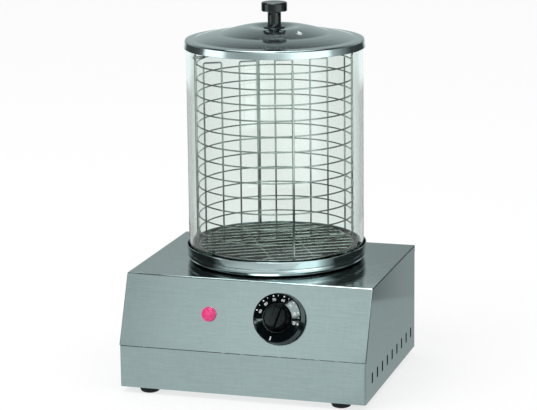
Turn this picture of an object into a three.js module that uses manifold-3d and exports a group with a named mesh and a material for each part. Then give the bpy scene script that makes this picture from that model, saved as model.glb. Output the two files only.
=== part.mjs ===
import * as THREE from 'three';
import { mergeVertices } from 'three/addons/utils/BufferGeometryUtils.js';
import Module from 'manifold-3d';

const wasm = await Module();
wasm.setup();
const { Manifold, Mesh: SolidMesh } = wasm;

// All lengths are millimetres. Up to the last lines the frame stands on the axis of the glass
// cylinder, with z = 0 on the top face of the casing; +Z is up and the dial faces -Y.

// Clearance between pieces that touch, overrun of the cutting tools, and the weld distance.
const GAP = 0.3;
const OVERRUN = 8;
const WELD = 0.0001;

// Glass cylinder. Its outside diameter sets the scale of everything else.
const GLASS_D = 200;
const GLASS_WALL = 3;
const GLASS_H = 246.8;
const GLASS_EDGE = 0.6;

// Casing of folded sheet. The top face reaches past the glass in front and ends short of it
// behind, where the lip of the pan hangs over.
const SHEET = 1.2;
const CASE_W = 282.8;
const CASE_H = 123.3;
const FRONT_MARGIN = 11.3;
const REAR_TUCK = 7.5;
const SLANT_RUN = 30.9;
const SLANT_DROP = 75.7;
const CORNER_R = 3;
const REAR_FLANGE = 8.4;

// Pan in the top face.
const WAIST_TUCK = 2;
const LIP_OUT = 3;
const LIP_TOP = 18.8;
const PAN_PLAY = 0.5;
const SEAT_Z = 5;
const SEAT_STEP = 1.2;
const BASIN_TUCK = 24;
const BASIN_DEPTH = 60;
const BASIN_CORNER = 6;
const PAN_WALL = 1;
const PAN_HOLE_PLAY = 1;
const CLAMP_W = 8;
const CLAMP_T = 1.5;

// Lid and its knob.
const LID_OVER = 2.8;
const LID_BAND = 9.2;
const LID_WALL = 0.9;
const LID_FLAT = 38;
const LID_CROWN_H = 14.1;
const LID_SEAT_H = 9.9;
const LID_SEAT_EDGE = 1.6;
const STEAM_R = 3.4;
const KNOB_H = 30.9;
const KNOB_HEAD_R = 14.6;
const KNOB_HEAD_H = 10.6;
const KNOB_NECK_R = 7.6;
const KNOB_FLANGE_R = 12.2;
const KNOB_FLANGE_H = 3.2;
const KNOB_EDGE = 1.2;
const KNOB_BORE_L = 14;
const LID_SCREW_R = 2.2;
const LID_SCREW_HEAD_R = 5;
const LID_SCREW_HEAD_H = 2.4;

// Basket of wire.
const BASKET_PLAY = 9;
const BASKET_DROP = 25.4;
const BASKET_LEG = 15.8;
const BASKET_TURN = 28.9;
const BASKET_INSET = 6.6;
const RING_N = 13;
const RING_WIRE_R = 0.85;
const POST_WIRE_R = 1.35;
const POST_OVER = 3;
const GRID_N = 9;
const GRID_WIRE_R = 1;
const GRID_OVER = 2.6;
const FLOOR_N = 13;
const FLOOR_TIE_X = 24;
const EYE_RISE = 8.1;
const EYE_R = 3.1;
const BAIL_INSET = 9.4;
const BAIL_WIRE_R = 1.6;
const PIN_OVER = 1.4;

// Dial, thermostat and pilot lamp, all half way down the slanted panel.
const CONTROL_X = 40.8;
const CONTROL_S = 40.4;
const DIAL_BASE_R = 28.8;
const DIAL_FACE_R = 27.2;
const DIAL_H = 12.9;
const DIAL_LIFT = 0.8;
const DIAL_SKIN = 2;
const DIAL_EDGE = 0.8;
const DIAL_GRIP_R = 15.3;
const DIAL_GRIP_H = 11;
const DIAL_BAR_W = 9.4;
const DIAL_SOCKET_R = 5;
const DIAL_POINTER = 15;
const THERMO_W = 38;
const THERMO_L = 46;
const THERMO_D = 26;
const NECK_R = 3.3;
const NECK_OUT = 3.5;
const SHAFT_R = 2.5;
const SHAFT_IN = 23;
const LAMP_R = 8.2;
const LAMP_DOME = 4.8;
const LAMP_STEM_R = 5.1;
const LAMP_STEM_L = 21;
const LAMP_NUT_R = 8.6;
const LAMP_NUT_T = 2;

// Heater, safety cut-out and capillary bulb.
const HEATER_TUCK = 30;
const HEATER_ROD_R = 4;
const HEATER_END_R = 3;
const HEATER_END_L = 22;
const SENSOR_UP = 20;
const CUTOUT_W = 22;
const CUTOUT_D = 10;
const BULB_R = 3;
const BULB_L = 44;

// Vents, rear screws and feet.
const VENT_N = 9;
const VENT_PITCH = 22.97;
const VENT_FRONT = 29.9;
const VENT_W = 5.6;
const VENT_H = 12.1;
const VENT_UP = 22.5;
const REAR_VENT_DROP = 38;
const BASE_VENT_L = 60;
const SCREW_R = 1.8;
const SCREW_L = 5;
const SCREW_HEAD_R = 3.6;
const SCREW_HEAD_H = 2.1;
const REAR_SCREW_INSET = 12;
const REAR_SCREW_DROP = 24;
const REAR_SCREW_UP = 10.2;
const FOOT_INSET = 30.7;
const FOOT_FRONT = 13.2;
const FOOT_BACK = 20;
const FOOT_R = 10.6;
const FOOT_H = 7;
const FOOT_SCREW_R = 2;
const FOOT_SCREW_HEAD_R = 4;
const FOOT_SCREW_HEAD_H = 2;
const FOOT_SCREW_END = 4;

// Rear inlet and its terminal block.
const INLET_INSET = 56.5;
const INLET_UP = 26.2;
const GLAND_BORE_R = 3.6;
const GLAND_THREAD_R = 6;
const GLAND_R = 10.5;
const GLAND_OUT = 17;
const GLAND_IN = 12;
const GLAND_NUT_R = 9.8;
const GLAND_NUT_T = 5;
const TERMINAL_W = 46;
const TERMINAL_D = 18;
const TERMINAL_H = 16;
const TERMINAL_BACK = 28.5;

// Sizes that follow from those above.
const glassR = GLASS_D / 2;
const topFront = glassR + FRONT_MARGIN;
const topBack = glassR - REAR_TUCK;
const waistR = glassR - WAIST_TUCK;
const lipR = glassR + LIP_OUT;
const basinR = glassR - BASIN_TUCK;
const glassZ = SEAT_Z + GAP;
const glassTop = glassZ + GLASS_H;
const ringR = glassR - GLASS_WALL - BASKET_PLAY;
const footZ = GAP + PAN_WALL + GAP;
const ringTopZ = glassTop - BASKET_DROP;
const floorZ = footZ + BASKET_LEG;
const ringPitch = (ringTopZ - floorZ) / (RING_N - 1);
const gridPitch = (ringR - BASKET_INSET) * 2 / (GRID_N - 1);
const floorPitch = (ringR - BASKET_INSET) * 2 / (FLOOR_N - 1);
const gridTop = ringTopZ + GRID_OVER;
const eyeZ = ringTopZ + EYE_RISE;
const bailR = ringR - BAIL_INSET;
const postR = ringR + RING_WIRE_R + GAP + POST_WIRE_R;
const halfW = CASE_W / 2;

// Materials.
const steel = new THREE.MeshStandardMaterial({ color: 0x9aa6a6, roughness: 0.35, metalness: 0.9 });
const bright = new THREE.MeshStandardMaterial({ color: 0xb8c0c0, roughness: 0.2, metalness: 0.95 });
const wire = new THREE.MeshStandardMaterial({ color: 0xb4b6ae, roughness: 0.25, metalness: 0.95 });
const glass = new THREE.MeshStandardMaterial({
  color: 0xdfeee6, roughness: 0.05, metalness: 0, transparent: true, opacity: 0.25,
});
const black = new THREE.MeshStandardMaterial({ color: 0x15181a, roughness: 0.25, metalness: 0 });
const rubber = new THREE.MeshStandardMaterial({ color: 0x161616, roughness: 0.8, metalness: 0 });
const pink = new THREE.MeshStandardMaterial({ color: 0xd61f78, roughness: 0.2, metalness: 0 });
const white = new THREE.MeshStandardMaterial({ color: 0xe6e6e0, roughness: 0.5, metalness: 0 });
const brass = new THREE.MeshStandardMaterial({ color: 0xb99a4c, roughness: 0.35, metalness: 0.9 });

const group = new THREE.Group();
group.name = 'hot_dog_warmer';

const add = (name, geometry, material) => {
  const mesh = new THREE.Mesh(geometry, material);
  mesh.name = name;
  group.add(mesh);
};

const solid = (geometry) => {
  const g = geometry.clone();
  g.deleteAttribute('normal');
  g.deleteAttribute('uv');
  const m = mergeVertices(g, WELD);
  const index = m.index ? m.index.array : [...Array(m.attributes.position.count).keys()];
  return new Manifold(new SolidMesh({
    numProp: 3,
    vertProperties: new Float32Array(m.attributes.position.array),
    triVerts: new Uint32Array(index),
  }));
};

const shell = (body) => {
  const mesh = body.getMesh();
  const g = new THREE.BufferGeometry();
  g.setAttribute('position', new THREE.BufferAttribute(new Float32Array(mesh.vertProperties), 3));
  g.setIndex(new THREE.BufferAttribute(new Uint32Array(mesh.triVerts), 1));
  g.computeVertexNormals();
  return g;
};

const join = (...list) => shell(Manifold.union(list.map(solid)));
const cut = (base, ...tools) => shell(solid(base).subtract(Manifold.union(tools.map(solid))));

// A body of revolution about Z from a closed profile of [r, z] points, given either way round.
const turned = (points, segments) => {
  const area = points.reduce((sum, [r, z], i) => {
    const [r2, z2] = points[(i + 1) % points.length];
    return sum + r * z2 - r2 * z;
  }, 0);
  const outward = area > 0 ? points : [...points].reverse();
  const closed = outward[0][0] > 0 ? [...outward, outward[0]] : outward;
  const g = new THREE.LatheGeometry(closed.map(([r, z]) => new THREE.Vector2(r, z)), segments);
  g.rotateX(Math.PI / 2);
  return g;
};

const rod = (radius, length, sides) => {
  const g = new THREE.CylinderGeometry(radius, radius, length, sides);
  g.rotateX(Math.PI / 2);
  return g;
};

// A straight wire between two points.
const wireBetween = (a, b, radius, sides) => {
  const from = new THREE.Vector3(...a);
  const to = new THREE.Vector3(...b);
  const g = rod(radius, from.distanceTo(to), sides);
  const turn = new THREE.Quaternion().setFromUnitVectors(
    new THREE.Vector3(0, 0, 1), to.clone().sub(from).normalize());
  g.applyQuaternion(turn);
  g.translate(...from.add(to).multiplyScalar(1 / 2).toArray());
  return g;
};

const box = (w, d, h, x, y, z) => {
  const g = new THREE.BoxGeometry(w, d, h);
  g.translate(x, y, z);
  return g;
};

// The slanted panel: a part modelled about Z with its base at zero is stood on the panel, its
// own +Y pointing up the slope.
const slantLength = Math.hypot(SLANT_RUN, SLANT_DROP);
const slantAngle = Math.atan2(SLANT_RUN, SLANT_DROP);
const onSlant = (g, x, s) => {
  g.rotateX(Math.PI / 2 - slantAngle);
  g.translate(x, -topFront - s * Math.sin(slantAngle), -s * Math.cos(slantAngle));
  return g;
};

const foldY = -topFront - SLANT_RUN;

// Casing top: the flat top and the slanted panel are one bent sheet with a turned down rear edge.
{
  const t = SHEET;
  const nx = Math.cos(slantAngle) * t;
  const nz = Math.sin(slantAngle) * t;
  const bend = Math.tan(slantAngle / 2 + Math.PI / 4);
  const s = new THREE.Shape();
  s.moveTo(topBack, 0);
  s.lineTo(-topFront, 0);
  s.lineTo(foldY, -SLANT_DROP);
  s.lineTo(foldY + nx, -SLANT_DROP - nz);
  s.lineTo(-topFront + t / bend, -t);
  s.lineTo(topBack - t, -t);
  s.lineTo(topBack - t, -REAR_FLANGE);
  s.lineTo(topBack, -REAR_FLANGE);
  const g = new THREE.ExtrudeGeometry(s, { depth: CASE_W, bevelEnabled: false });
  g.rotateX(Math.PI / 2);
  g.rotateZ(Math.PI / 2);
  g.translate(-halfW, 0, 0);
  const hole = rod(basinR + PAN_HOLE_PLAY, OVERRUN, 56);
  const shaftHole = onSlant(rod(NECK_R + GAP, OVERRUN, 16), CONTROL_X, CONTROL_S);
  const lampHole = onSlant(rod(LAMP_STEM_R + GAP, OVERRUN, 20), -CONTROL_X, CONTROL_S);
  add('casing_top', cut(g, hole, shaftHole, lampHole), steel);
}

// Casing wrap: the lower front band and both sides are one sheet folded into a U.
{
  const low = -CASE_H;
  const drop = SHEET + GAP * 2;
  const back = topBack - SHEET - GAP;
  const setBack = drop / Math.cos(slantAngle);
  const outline = new THREE.Shape();
  outline.moveTo(back, -drop);
  outline.lineTo(-topFront + setBack * Math.tan(Math.PI / 4 - slantAngle / 2), -drop);
  outline.lineTo(foldY + GAP + SHEET * 2, -SLANT_DROP - SHEET);
  outline.lineTo(foldY, -SLANT_DROP - SHEET);
  outline.lineTo(foldY, low);
  outline.lineTo(back, low);
  const block = new THREE.ExtrudeGeometry(outline, { depth: CASE_W, bevelEnabled: false });
  block.rotateX(Math.PI / 2);
  block.rotateZ(Math.PI / 2);
  block.translate(-halfW, 0, 0);
  const plan = new THREE.Shape();
  plan.moveTo(-halfW, topBack);
  plan.lineTo(-halfW, foldY + CORNER_R);
  plan.absarc(-halfW + CORNER_R, foldY + CORNER_R, CORNER_R, Math.PI, Math.PI * 3 / 2, false);
  plan.absarc(halfW - CORNER_R, foldY + CORNER_R, CORNER_R, Math.PI * 3 / 2, Math.PI * 2, false);
  plan.lineTo(halfW, topBack);
  const inner = new THREE.Path();
  const inW = halfW - SHEET;
  const inY = foldY + SHEET;
  const inR = CORNER_R - SHEET;
  plan.lineTo(inW, topBack);
  inner.absarc(inW - inR, inY + inR, inR, Math.PI * 2, Math.PI * 3 / 2, true);
  for (const p of inner.getPoints(4)) plan.lineTo(p.x, p.y);
  const mirrored = inner.getPoints(4).reverse();
  for (const p of mirrored) plan.lineTo(-p.x, p.y);
  plan.lineTo(-inW, topBack);
  const walls = new THREE.ExtrudeGeometry(plan, {
    depth: CASE_H * 2, bevelEnabled: false, curveSegments: 4,
  });
  walls.translate(0, 0, -CASE_H * 2 + GAP);
  const vents = [];
  for (let i = 0; i < VENT_N; i += 1) {
    const y = foldY + VENT_FRONT + i * VENT_PITCH;
    vents.push(box(CASE_W * 2, VENT_W, VENT_H, 0, y, -CASE_H + VENT_UP));
  }
  const body = solid(block).intersect(solid(walls)).subtract(Manifold.union(vents.map(solid)));
  add('casing_wrap', shell(body), steel);
}

// Rear panel, with the hole of the inlet and a row of vents.
const rearY = topBack - SHEET - GAP;
const inletX = halfW - INLET_INSET;
const inletZ = -CASE_H + INLET_UP;
{
  const top = -REAR_FLANGE - SHEET;
  const h = CASE_H + top - SHEET - GAP * 2;
  const w = CASE_W - (SHEET + GAP) * 2;
  const panel = box(w, SHEET, h, 0, rearY - SHEET / 2, top - h / 2);
  const tools = [];
  const inlet = rod(GLAND_THREAD_R + GAP, OVERRUN, 20);
  inlet.rotateX(Math.PI / 2);
  inlet.translate(inletX, rearY, inletZ);
  tools.push(inlet);
  for (let i = 0; i < VENT_N; i += 1) {
    const x = (i - (VENT_N - 1) / 2) * VENT_PITCH;
    tools.push(box(VENT_W, OVERRUN, VENT_H * 2, x, rearY, -REAR_VENT_DROP));
  }
  const places = [];
  for (const sx of [-1, 1]) {
    for (const z of [-REAR_SCREW_DROP, -CASE_H + REAR_SCREW_UP]) {
      places.push([sx * (halfW - REAR_SCREW_INSET), z]);
    }
  }
  for (const [x, z] of places) {
    const hole = rod(SCREW_R + GAP, OVERRUN, 12);
    hole.rotateX(Math.PI / 2);
    hole.translate(x, rearY, z);
    tools.push(hole);
  }
  add('rear_panel', cut(panel, ...tools), steel);
  const headShares = [[1, 0], [0.92, 0.76], [0.56, 1], [0, 1]];
  places.forEach(([x, z], i) => {
    const screw = turned([
      [0, -SCREW_L], [SCREW_R, -SCREW_L], [SCREW_R, GAP],
      ...headShares.map(([r, h1]) => [r * SCREW_HEAD_R, GAP + h1 * SCREW_HEAD_H]),
    ], 12);
    screw.rotateX(-Math.PI / 2);
    screw.translate(x, rearY, z);
    add(`rear_screw_${i + 1}`, screw, bright);
  });
}

// Base plate, lying between the folded sides, with the holes of the foot screws.
const footX = halfW - FOOT_INSET;
const footY = [foldY + FOOT_FRONT, topBack - FOOT_BACK];
{
  const w = CASE_W - (SHEET + GAP * 2) * 2;
  const y0 = foldY + SHEET + GAP * 2;
  const y1 = rearY;
  const plate = box(w, y1 - y0, SHEET, 0, (y0 + y1) / 2, -CASE_H + SHEET / 2);
  const tools = [];
  for (const sx of [-1, 1]) {
    for (const y of footY) {
      const hole = rod(FOOT_SCREW_R + GAP, OVERRUN, 12);
      hole.translate(sx * footX, y, -CASE_H);
      tools.push(hole);
    }
  }
  for (let i = 0; i < VENT_N - 2; i += 1) {
    tools.push(box(VENT_W, BASE_VENT_L, OVERRUN, (i - (VENT_N - 3) / 2) * VENT_PITCH, 0, -CASE_H));
  }
  add('base_plate', cut(plate, ...tools), steel);
}

// Four domed rubber feet and the screws that hold them.
{
  const bore = FOOT_SCREW_R + GAP * 2;
  const well = FOOT_SCREW_HEAD_R + GAP * 2;
  const floor = -FOOT_H + FOOT_SCREW_HEAD_H + GAP * 2;
  const footShares = [[1, 0.45], [0.85, 0.85], [0.68, 1]];
  let n = 1;
  for (const y of footY) {
    for (const sx of [-1, 1]) {
      const foot = turned([
        [bore, -GAP], [FOOT_R, -GAP], ...footShares.map(([r, h]) => [r * FOOT_R, -h * FOOT_H]),
        [well, -FOOT_H], [well, floor], [bore, floor],
      ], 24);
      foot.translate(sx * footX, y, -CASE_H);
      add(`foot_${n}`, foot, rubber);
      const head = floor - GAP;
      const end = SHEET + FOOT_SCREW_END;
      const screw = turned([
        [0, head - FOOT_SCREW_HEAD_H], [FOOT_SCREW_HEAD_R * 0.75, head - FOOT_SCREW_HEAD_H],
        [FOOT_SCREW_HEAD_R, head - FOOT_SCREW_HEAD_H * 0.6], [FOOT_SCREW_HEAD_R, head],
        [FOOT_SCREW_R, head], [FOOT_SCREW_R, end], [0, end],
      ], 12);
      screw.translate(sx * footX, y, -CASE_H);
      add(`foot_screw_${n}`, screw, bright);
      n += 1;
    }
  }
}

// Pan: a deep drawn basin hanging through the top, with a ledge, a raised seat for the glass and
// a tall rolled lip round it. The lip's points are shares of its flare and of its height.
{
  const g = GAP;
  const t = PAN_WALL;
  const c = BASIN_CORNER;
  const low = -BASIN_DEPTH;
  const flare = lipR - waistR;
  const lipShares = [
    [0.458, 0.148], [0.708, 0.284], [0.812, 0.386], [0.667, 0.489], [0.812, 0.528], [1, 0.955],
  ];
  const bore = glassR + PAN_PLAY;
  const seatIn = glassR - GLASS_WALL - GAP;
  add('pan', turned([
    [0, low], [basinR - c, low], [basinR - c * 0.3, low + c * 0.3], [basinR, low + c], [basinR, g],
    [waistR, g], ...lipShares.map(([r, z]) => [waistR + r * flare, z * LIP_TOP]),
    [lipR - t * 0.5, LIP_TOP], [lipR - t, LIP_TOP - t * 0.3], [bore, LIP_TOP * 0.511],
    [bore, SEAT_Z], [seatIn, SEAT_Z], [seatIn - SEAT_STEP, g + t], [basinR - t, g + t],
    [basinR - t, low + c], [basinR - t - c * 0.3, low + c * 0.3 + t],
    [basinR - t - c, low + t], [0, low + t],
  ], 48), bright);
}

// Clamp ring under the top, which holds the pan down.
{
  const z = -SHEET - GAP;
  const r = basinR + GAP;
  add('pan_clamp', turned([
    [r, z], [r + CLAMP_W, z], [r + CLAMP_W, z - CLAMP_T], [r + CLAMP_T, z - CLAMP_T],
    [r + CLAMP_T, z - CLAMP_W], [r, z - CLAMP_W],
  ], 36), steel);
}

// Ring heater under the basin with its two cold ends turned down, and the plate that clamps it.
{
  const r = basinR - HEATER_TUCK;
  const z = -BASIN_DEPTH - GAP - HEATER_ROD_R;
  const arc = new THREE.CatmullRomCurve3([...Array(25).keys()].map((i) => {
    const a = -Math.PI / 2 + 0.25 + i / 24 * (Math.PI * 2 - 0.5);
    return new THREE.Vector3(r * Math.cos(a), r * Math.sin(a), z);
  }));
  const section = new THREE.Shape();
  section.absarc(0, 0, HEATER_ROD_R, 0, Math.PI * 2, false);
  const tube = new THREE.ExtrudeGeometry(section, {
    extrudePath: arc, steps: 28, bevelEnabled: false, curveSegments: 4,
  });
  const ends = [-1, 1].map((side) => {
    const a = -Math.PI / 2 + side * 0.3;
    const at = [r * Math.cos(a), r * Math.sin(a)];
    return wireBetween([...at, z], [...at, z - HEATER_END_L], HEATER_END_R, 10);
  });
  add('heating_element', join(tube, ...ends), steel);
  const rim = r - HEATER_ROD_R - GAP;
  const hub = r - HEATER_ROD_R * 2;
  const face = z - HEATER_ROD_R - GAP;
  const crest = -BASIN_DEPTH - GAP;
  add('heater_plate', turned([
    [0, face - SHEET], [rim, face - SHEET], [rim, face], [hub, face], [hub, crest],
    [hub - SHEET, crest], [hub - SHEET, face], [0, face],
  ], 24), steel);
}

// Thermostat: body and threaded neck behind the panel, shaft through it, dial on the shaft.
{
  const body = box(THERMO_W, THERMO_L, THERMO_D, 0, 0, -SHEET - GAP - THERMO_D / 2);
  const neck = rod(NECK_R, NECK_OUT + SHEET * 2, 16);
  neck.translate(0, 0, NECK_OUT / 2 - SHEET);
  const bore = rod(SHAFT_R + GAP, THERMO_D * 3, 16);
  add('thermostat_body', onSlant(cut(join(body, neck), bore), CONTROL_X, CONTROL_S), white);
  const shaftOut = DIAL_H - DIAL_SKIN;
  const shaft = rod(SHAFT_R, shaftOut + SHAFT_IN, 16);
  shaft.translate(0, 0, (shaftOut - SHAFT_IN) / 2);
  add('thermostat_shaft', onSlant(shaft, CONTROL_X, CONTROL_S), brass);
  const face = DIAL_H - DIAL_EDGE / 2;
  const skirt = turned([
    [DIAL_BASE_R - DIAL_SKIN, DIAL_LIFT], [DIAL_BASE_R, DIAL_LIFT],
    [DIAL_BASE_R, DIAL_LIFT + DIAL_SKIN * 0.7], [DIAL_FACE_R, DIAL_H - DIAL_EDGE],
    [DIAL_FACE_R - DIAL_EDGE, DIAL_H], [DIAL_FACE_R - DIAL_EDGE * 2, face],
    [0, face], [0, face - DIAL_SKIN], [DIAL_FACE_R - DIAL_SKIN * 1.5, face - DIAL_SKIN],
  ], 40);
  const bossShares = [[1, 0.09], [0.907, 0.55], [0.8, 0.7], [0, 0.7]];
  const boss = turned([
    [0, DIAL_H - DIAL_SKIN], [DIAL_GRIP_R * 1.04, DIAL_H - DIAL_SKIN],
    ...bossShares.map(([r, h]) => [r * DIAL_GRIP_R, DIAL_H + h * DIAL_GRIP_H]),
  ], 32);
  const bar = new THREE.Shape();
  const barTopShare = 0.78;
  bar.moveTo(-DIAL_BAR_W / 2, DIAL_H - DIAL_SKIN / 2);
  bar.lineTo(DIAL_BAR_W / 2, DIAL_H - DIAL_SKIN / 2);
  bar.lineTo(DIAL_BAR_W / 2 * barTopShare, DIAL_H + DIAL_GRIP_H);
  bar.lineTo(-DIAL_BAR_W / 2 * barTopShare, DIAL_H + DIAL_GRIP_H);
  const barLength = DIAL_GRIP_R * 1.86;
  const ridge = new THREE.ExtrudeGeometry(bar, { depth: barLength, bevelEnabled: false });
  ridge.rotateX(Math.PI / 2);
  ridge.translate(0, barLength / 2, 0);
  ridge.rotateZ(-DIAL_POINTER / 180 * Math.PI);
  const socketZ = NECK_OUT + GAP * 4;
  const socket = turned([
    [0, socketZ], [DIAL_SOCKET_R, socketZ], [DIAL_SOCKET_R, DIAL_H - DIAL_SKIN], [0, DIAL_H - DIAL_SKIN],
  ], 16);
  const shaftRoom = rod(SHAFT_R + GAP, (shaftOut + GAP) * 2, 16);
  add('dial', onSlant(cut(join(skirt, boss, ridge, socket), shaftRoom), CONTROL_X, CONTROL_S), black);
}

// Pilot lamp: a domed lens with a rim in front, its body and spring nut behind.
{
  const lensShares = [[1, 0.33], [0.89, 0.46], [0.84, 0.48], [0.675, 0.73], [0.375, 0.92], [0, 1]];
  const lens = turned([
    [0, GAP], [LAMP_R, GAP], ...lensShares.map(([r, h]) => [r * LAMP_R, h * LAMP_DOME]),
  ], 28);
  const into = LAMP_DOME * 0.2;
  const stem = rod(LAMP_STEM_R, LAMP_STEM_L + into, 20);
  stem.translate(0, 0, (into - LAMP_STEM_L) / 2);
  add('lamp_lens', onSlant(join(lens, stem), -CONTROL_X, CONTROL_S), pink);
  const z = -SHEET - GAP;
  const r = LAMP_STEM_R + GAP;
  add('lamp_nut', onSlant(turned([
    [r, z], [LAMP_NUT_R, z], [LAMP_NUT_R, z - LAMP_NUT_T], [r, z - LAMP_NUT_T],
  ], 20), -CONTROL_X, CONTROL_S), white);
}

// Safety cut-out against the basin wall, capillary bulb of the thermostat, terminal block.
{
  const z = -BASIN_DEPTH + SENSOR_UP;
  const y = -basinR - GAP - CUTOUT_D / 2;
  add('safety_cutout', box(CUTOUT_W, CUTOUT_D, CUTOUT_W, 0, y, z), white);
  const r = basinR + GAP + BULB_R;
  const bulb = wireBetween([r, -BULB_L / 2, z], [r, BULB_L / 2, z], BULB_R, 12);
  bulb.rotateZ(-Math.PI / 5);
  add('thermostat_bulb', bulb, brass);
  add('terminal_block', box(
    TERMINAL_W, TERMINAL_D, TERMINAL_H,
    inletX, rearY - TERMINAL_BACK, -CASE_H + SHEET + GAP + TERMINAL_H / 2,
  ), white);
}

// Cable gland in the rear panel, and its nut inside. The flex itself is not built.
{
  const glandShares = [[1, 0.294], [0.78, 0.47], [0.78, 0.88], [0.63, 1]];
  const gland = turned([
    [GLAND_BORE_R, -GLAND_IN], [GLAND_THREAD_R, -GLAND_IN], [GLAND_THREAD_R, GAP], [GLAND_R, GAP],
    ...glandShares.map(([r, z]) => [r * GLAND_R, z * GLAND_OUT]), [GLAND_BORE_R, GLAND_OUT],
  ], 20);
  gland.rotateX(-Math.PI / 2);
  gland.translate(inletX, rearY, inletZ);
  add('cable_gland', gland, black);
  const nut = cut(rod(GLAND_NUT_R, GLAND_NUT_T, 6), rod(GLAND_THREAD_R + GAP, GLAND_NUT_T * 2, 20));
  nut.translate(0, 0, -SHEET - GAP - GLAND_NUT_T / 2);
  nut.rotateX(-Math.PI / 2);
  nut.translate(inletX, rearY, inletZ);
  add('gland_nut', nut, black);
}

// Glass cylinder, standing on the raised seat of the pan.
{
  const ri = glassR - GLASS_WALL;
  const e = GLASS_EDGE;
  add('glass_cylinder', turned([
    [ri, glassZ], [glassR, glassZ], [glassR, glassTop - e], [glassR - e, glassTop],
    [ri + e, glassTop], [ri, glassTop - e],
  ], 48), glass);
}

// Lid: pressed sheet with a turned down band, a slope, a raised crown and a dished centre for the
// knob. The band's points are shares of its overhang and height, the slope's of its width and the
// crown's height, and the crown's of its radius and height.
{
  const t = LID_WALL;
  const topZ = glassTop + GAP + t;
  const crownR = glassR - LID_FLAT;
  const seatR = KNOB_FLANGE_R + LID_SEAT_EDGE;
  const boreR = LID_SCREW_R + GAP * 2;
  const dip = LID_SEAT_H * 0.97;
  const bandShares = [[1, -1], [0.51, -0.176], [0.2, -0.022], [-0.28, 0.011]];
  const slopeShares = [[0.763, 0.05], [0.605, 0.181], [0.42, 0.305], [0.21, 0.408]];
  const crownShares = [[1, 0.475], [0.903, 0.617], [0.79, 0.759], [0.677, 0.879], [0.581, 0.965],
    [0.5, 1], [0.419, 0.982], [0.323, 0.858]];
  const slope = slopeShares.map(([r, z]) => [crownR + r * LID_FLAT, topZ + z * LID_CROWN_H]);
  const crown = crownShares.map(([r, z]) => [r * crownR, topZ + z * LID_CROWN_H]);
  const top = [...slope, ...crown, [seatR, topZ + LID_SEAT_H], [boreR, topZ + dip]];
  const over = bandShares.map(([r, z]) => [glassR + r * LID_OVER, topZ + z * LID_BAND]);
  const under = [
    ...top.map(([r, z]) => [r, z - t]).reverse(), [glassR - LID_OVER * 0.28, topZ - t],
    [glassR + GAP, topZ - LID_BAND * 0.022 - t], [glassR + t, topZ - LID_BAND * 0.2 - t * 0.4],
    [glassR + LID_OVER - t * 1.2, topZ - LID_BAND],
  ];
  const steamShare = 0.782;
  const hole = rod(STEAM_R, OVERRUN, 12);
  hole.translate(crownR * steamShare, 0, topZ + LID_CROWN_H);
  hole.rotateZ(-Math.PI * 0.217);
  add('lid', cut(turned([...over, ...top, ...under], 48), hole), bright);
  const seat = topZ + LID_SEAT_H + GAP;
  const end = seat + KNOB_H;
  const neckTop = end - KNOB_HEAD_H;
  const e = KNOB_EDGE;
  const knobBore = LID_SCREW_R + GAP;
  add('lid_knob', turned([
    [0, end], [KNOB_HEAD_R - e * 1.3, end], [KNOB_HEAD_R, end - e], [KNOB_HEAD_R, neckTop + e * 0.8],
    [KNOB_HEAD_R - e, neckTop], [KNOB_NECK_R + e * 0.5, neckTop - e * 0.5],
    [KNOB_NECK_R, neckTop - e * 1.6], [KNOB_NECK_R, seat + KNOB_FLANGE_H + e * 1.8],
    [KNOB_NECK_R + e * 0.8, seat + KNOB_FLANGE_H + e * 0.7],
    [KNOB_FLANGE_R - e * 0.5, seat + KNOB_FLANGE_H], [KNOB_FLANGE_R, seat + KNOB_FLANGE_H * 0.7],
    [KNOB_FLANGE_R - e * 0.7, seat], [knobBore, seat], [knobBore, seat + KNOB_BORE_L],
    [0, seat + KNOB_BORE_L],
  ], 24), black);
  const headZ = topZ + dip - t - GAP;
  const tip = seat + KNOB_BORE_L - GAP * 3;
  add('lid_screw', turned([
    [0, headZ - LID_SCREW_HEAD_H], [LID_SCREW_HEAD_R * 0.68, headZ - LID_SCREW_HEAD_H],
    [LID_SCREW_HEAD_R, headZ - LID_SCREW_HEAD_H * 0.6], [LID_SCREW_HEAD_R, headZ], [LID_SCREW_R, headZ],
    [LID_SCREW_R, tip], [0, tip],
  ], 16), bright);
}

// Basket, turned against the casing. Its own X axis runs through the two posts with eyes.
const turnBasket = (g) => g.rotateZ(BASKET_TURN / 180 * Math.PI);
{
  for (let i = 0; i < RING_N; i += 1) {
    const g = new THREE.TorusGeometry(ringR, RING_WIRE_R, 4, 36);
    g.translate(0, 0, ringTopZ - i * ringPitch);
    add(`basket_ring_${i + 1}`, turnBasket(g), wire);
  }
  for (let k = 0; k < 4; k += 1) {
    const eyed = k % 2 === 0;
    const top = eyed ? eyeZ - EYE_R : ringTopZ + POST_OVER;
    const post = rod(POST_WIRE_R, top - footZ, 8);
    post.translate(postR, 0, (top + footZ) / 2);
    let g = post;
    if (eyed) {
      const eye = new THREE.TorusGeometry(EYE_R, POST_WIRE_R * 0.8, 8, 16);
      eye.rotateY(Math.PI / 2);
      eye.translate(postR, 0, eyeZ);
      g = join(post, eye);
    }
    g.rotateZ(k * Math.PI / 2);
    add(`basket_post_${k + 1}`, turnBasket(g), wire);
  }
}

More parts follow.
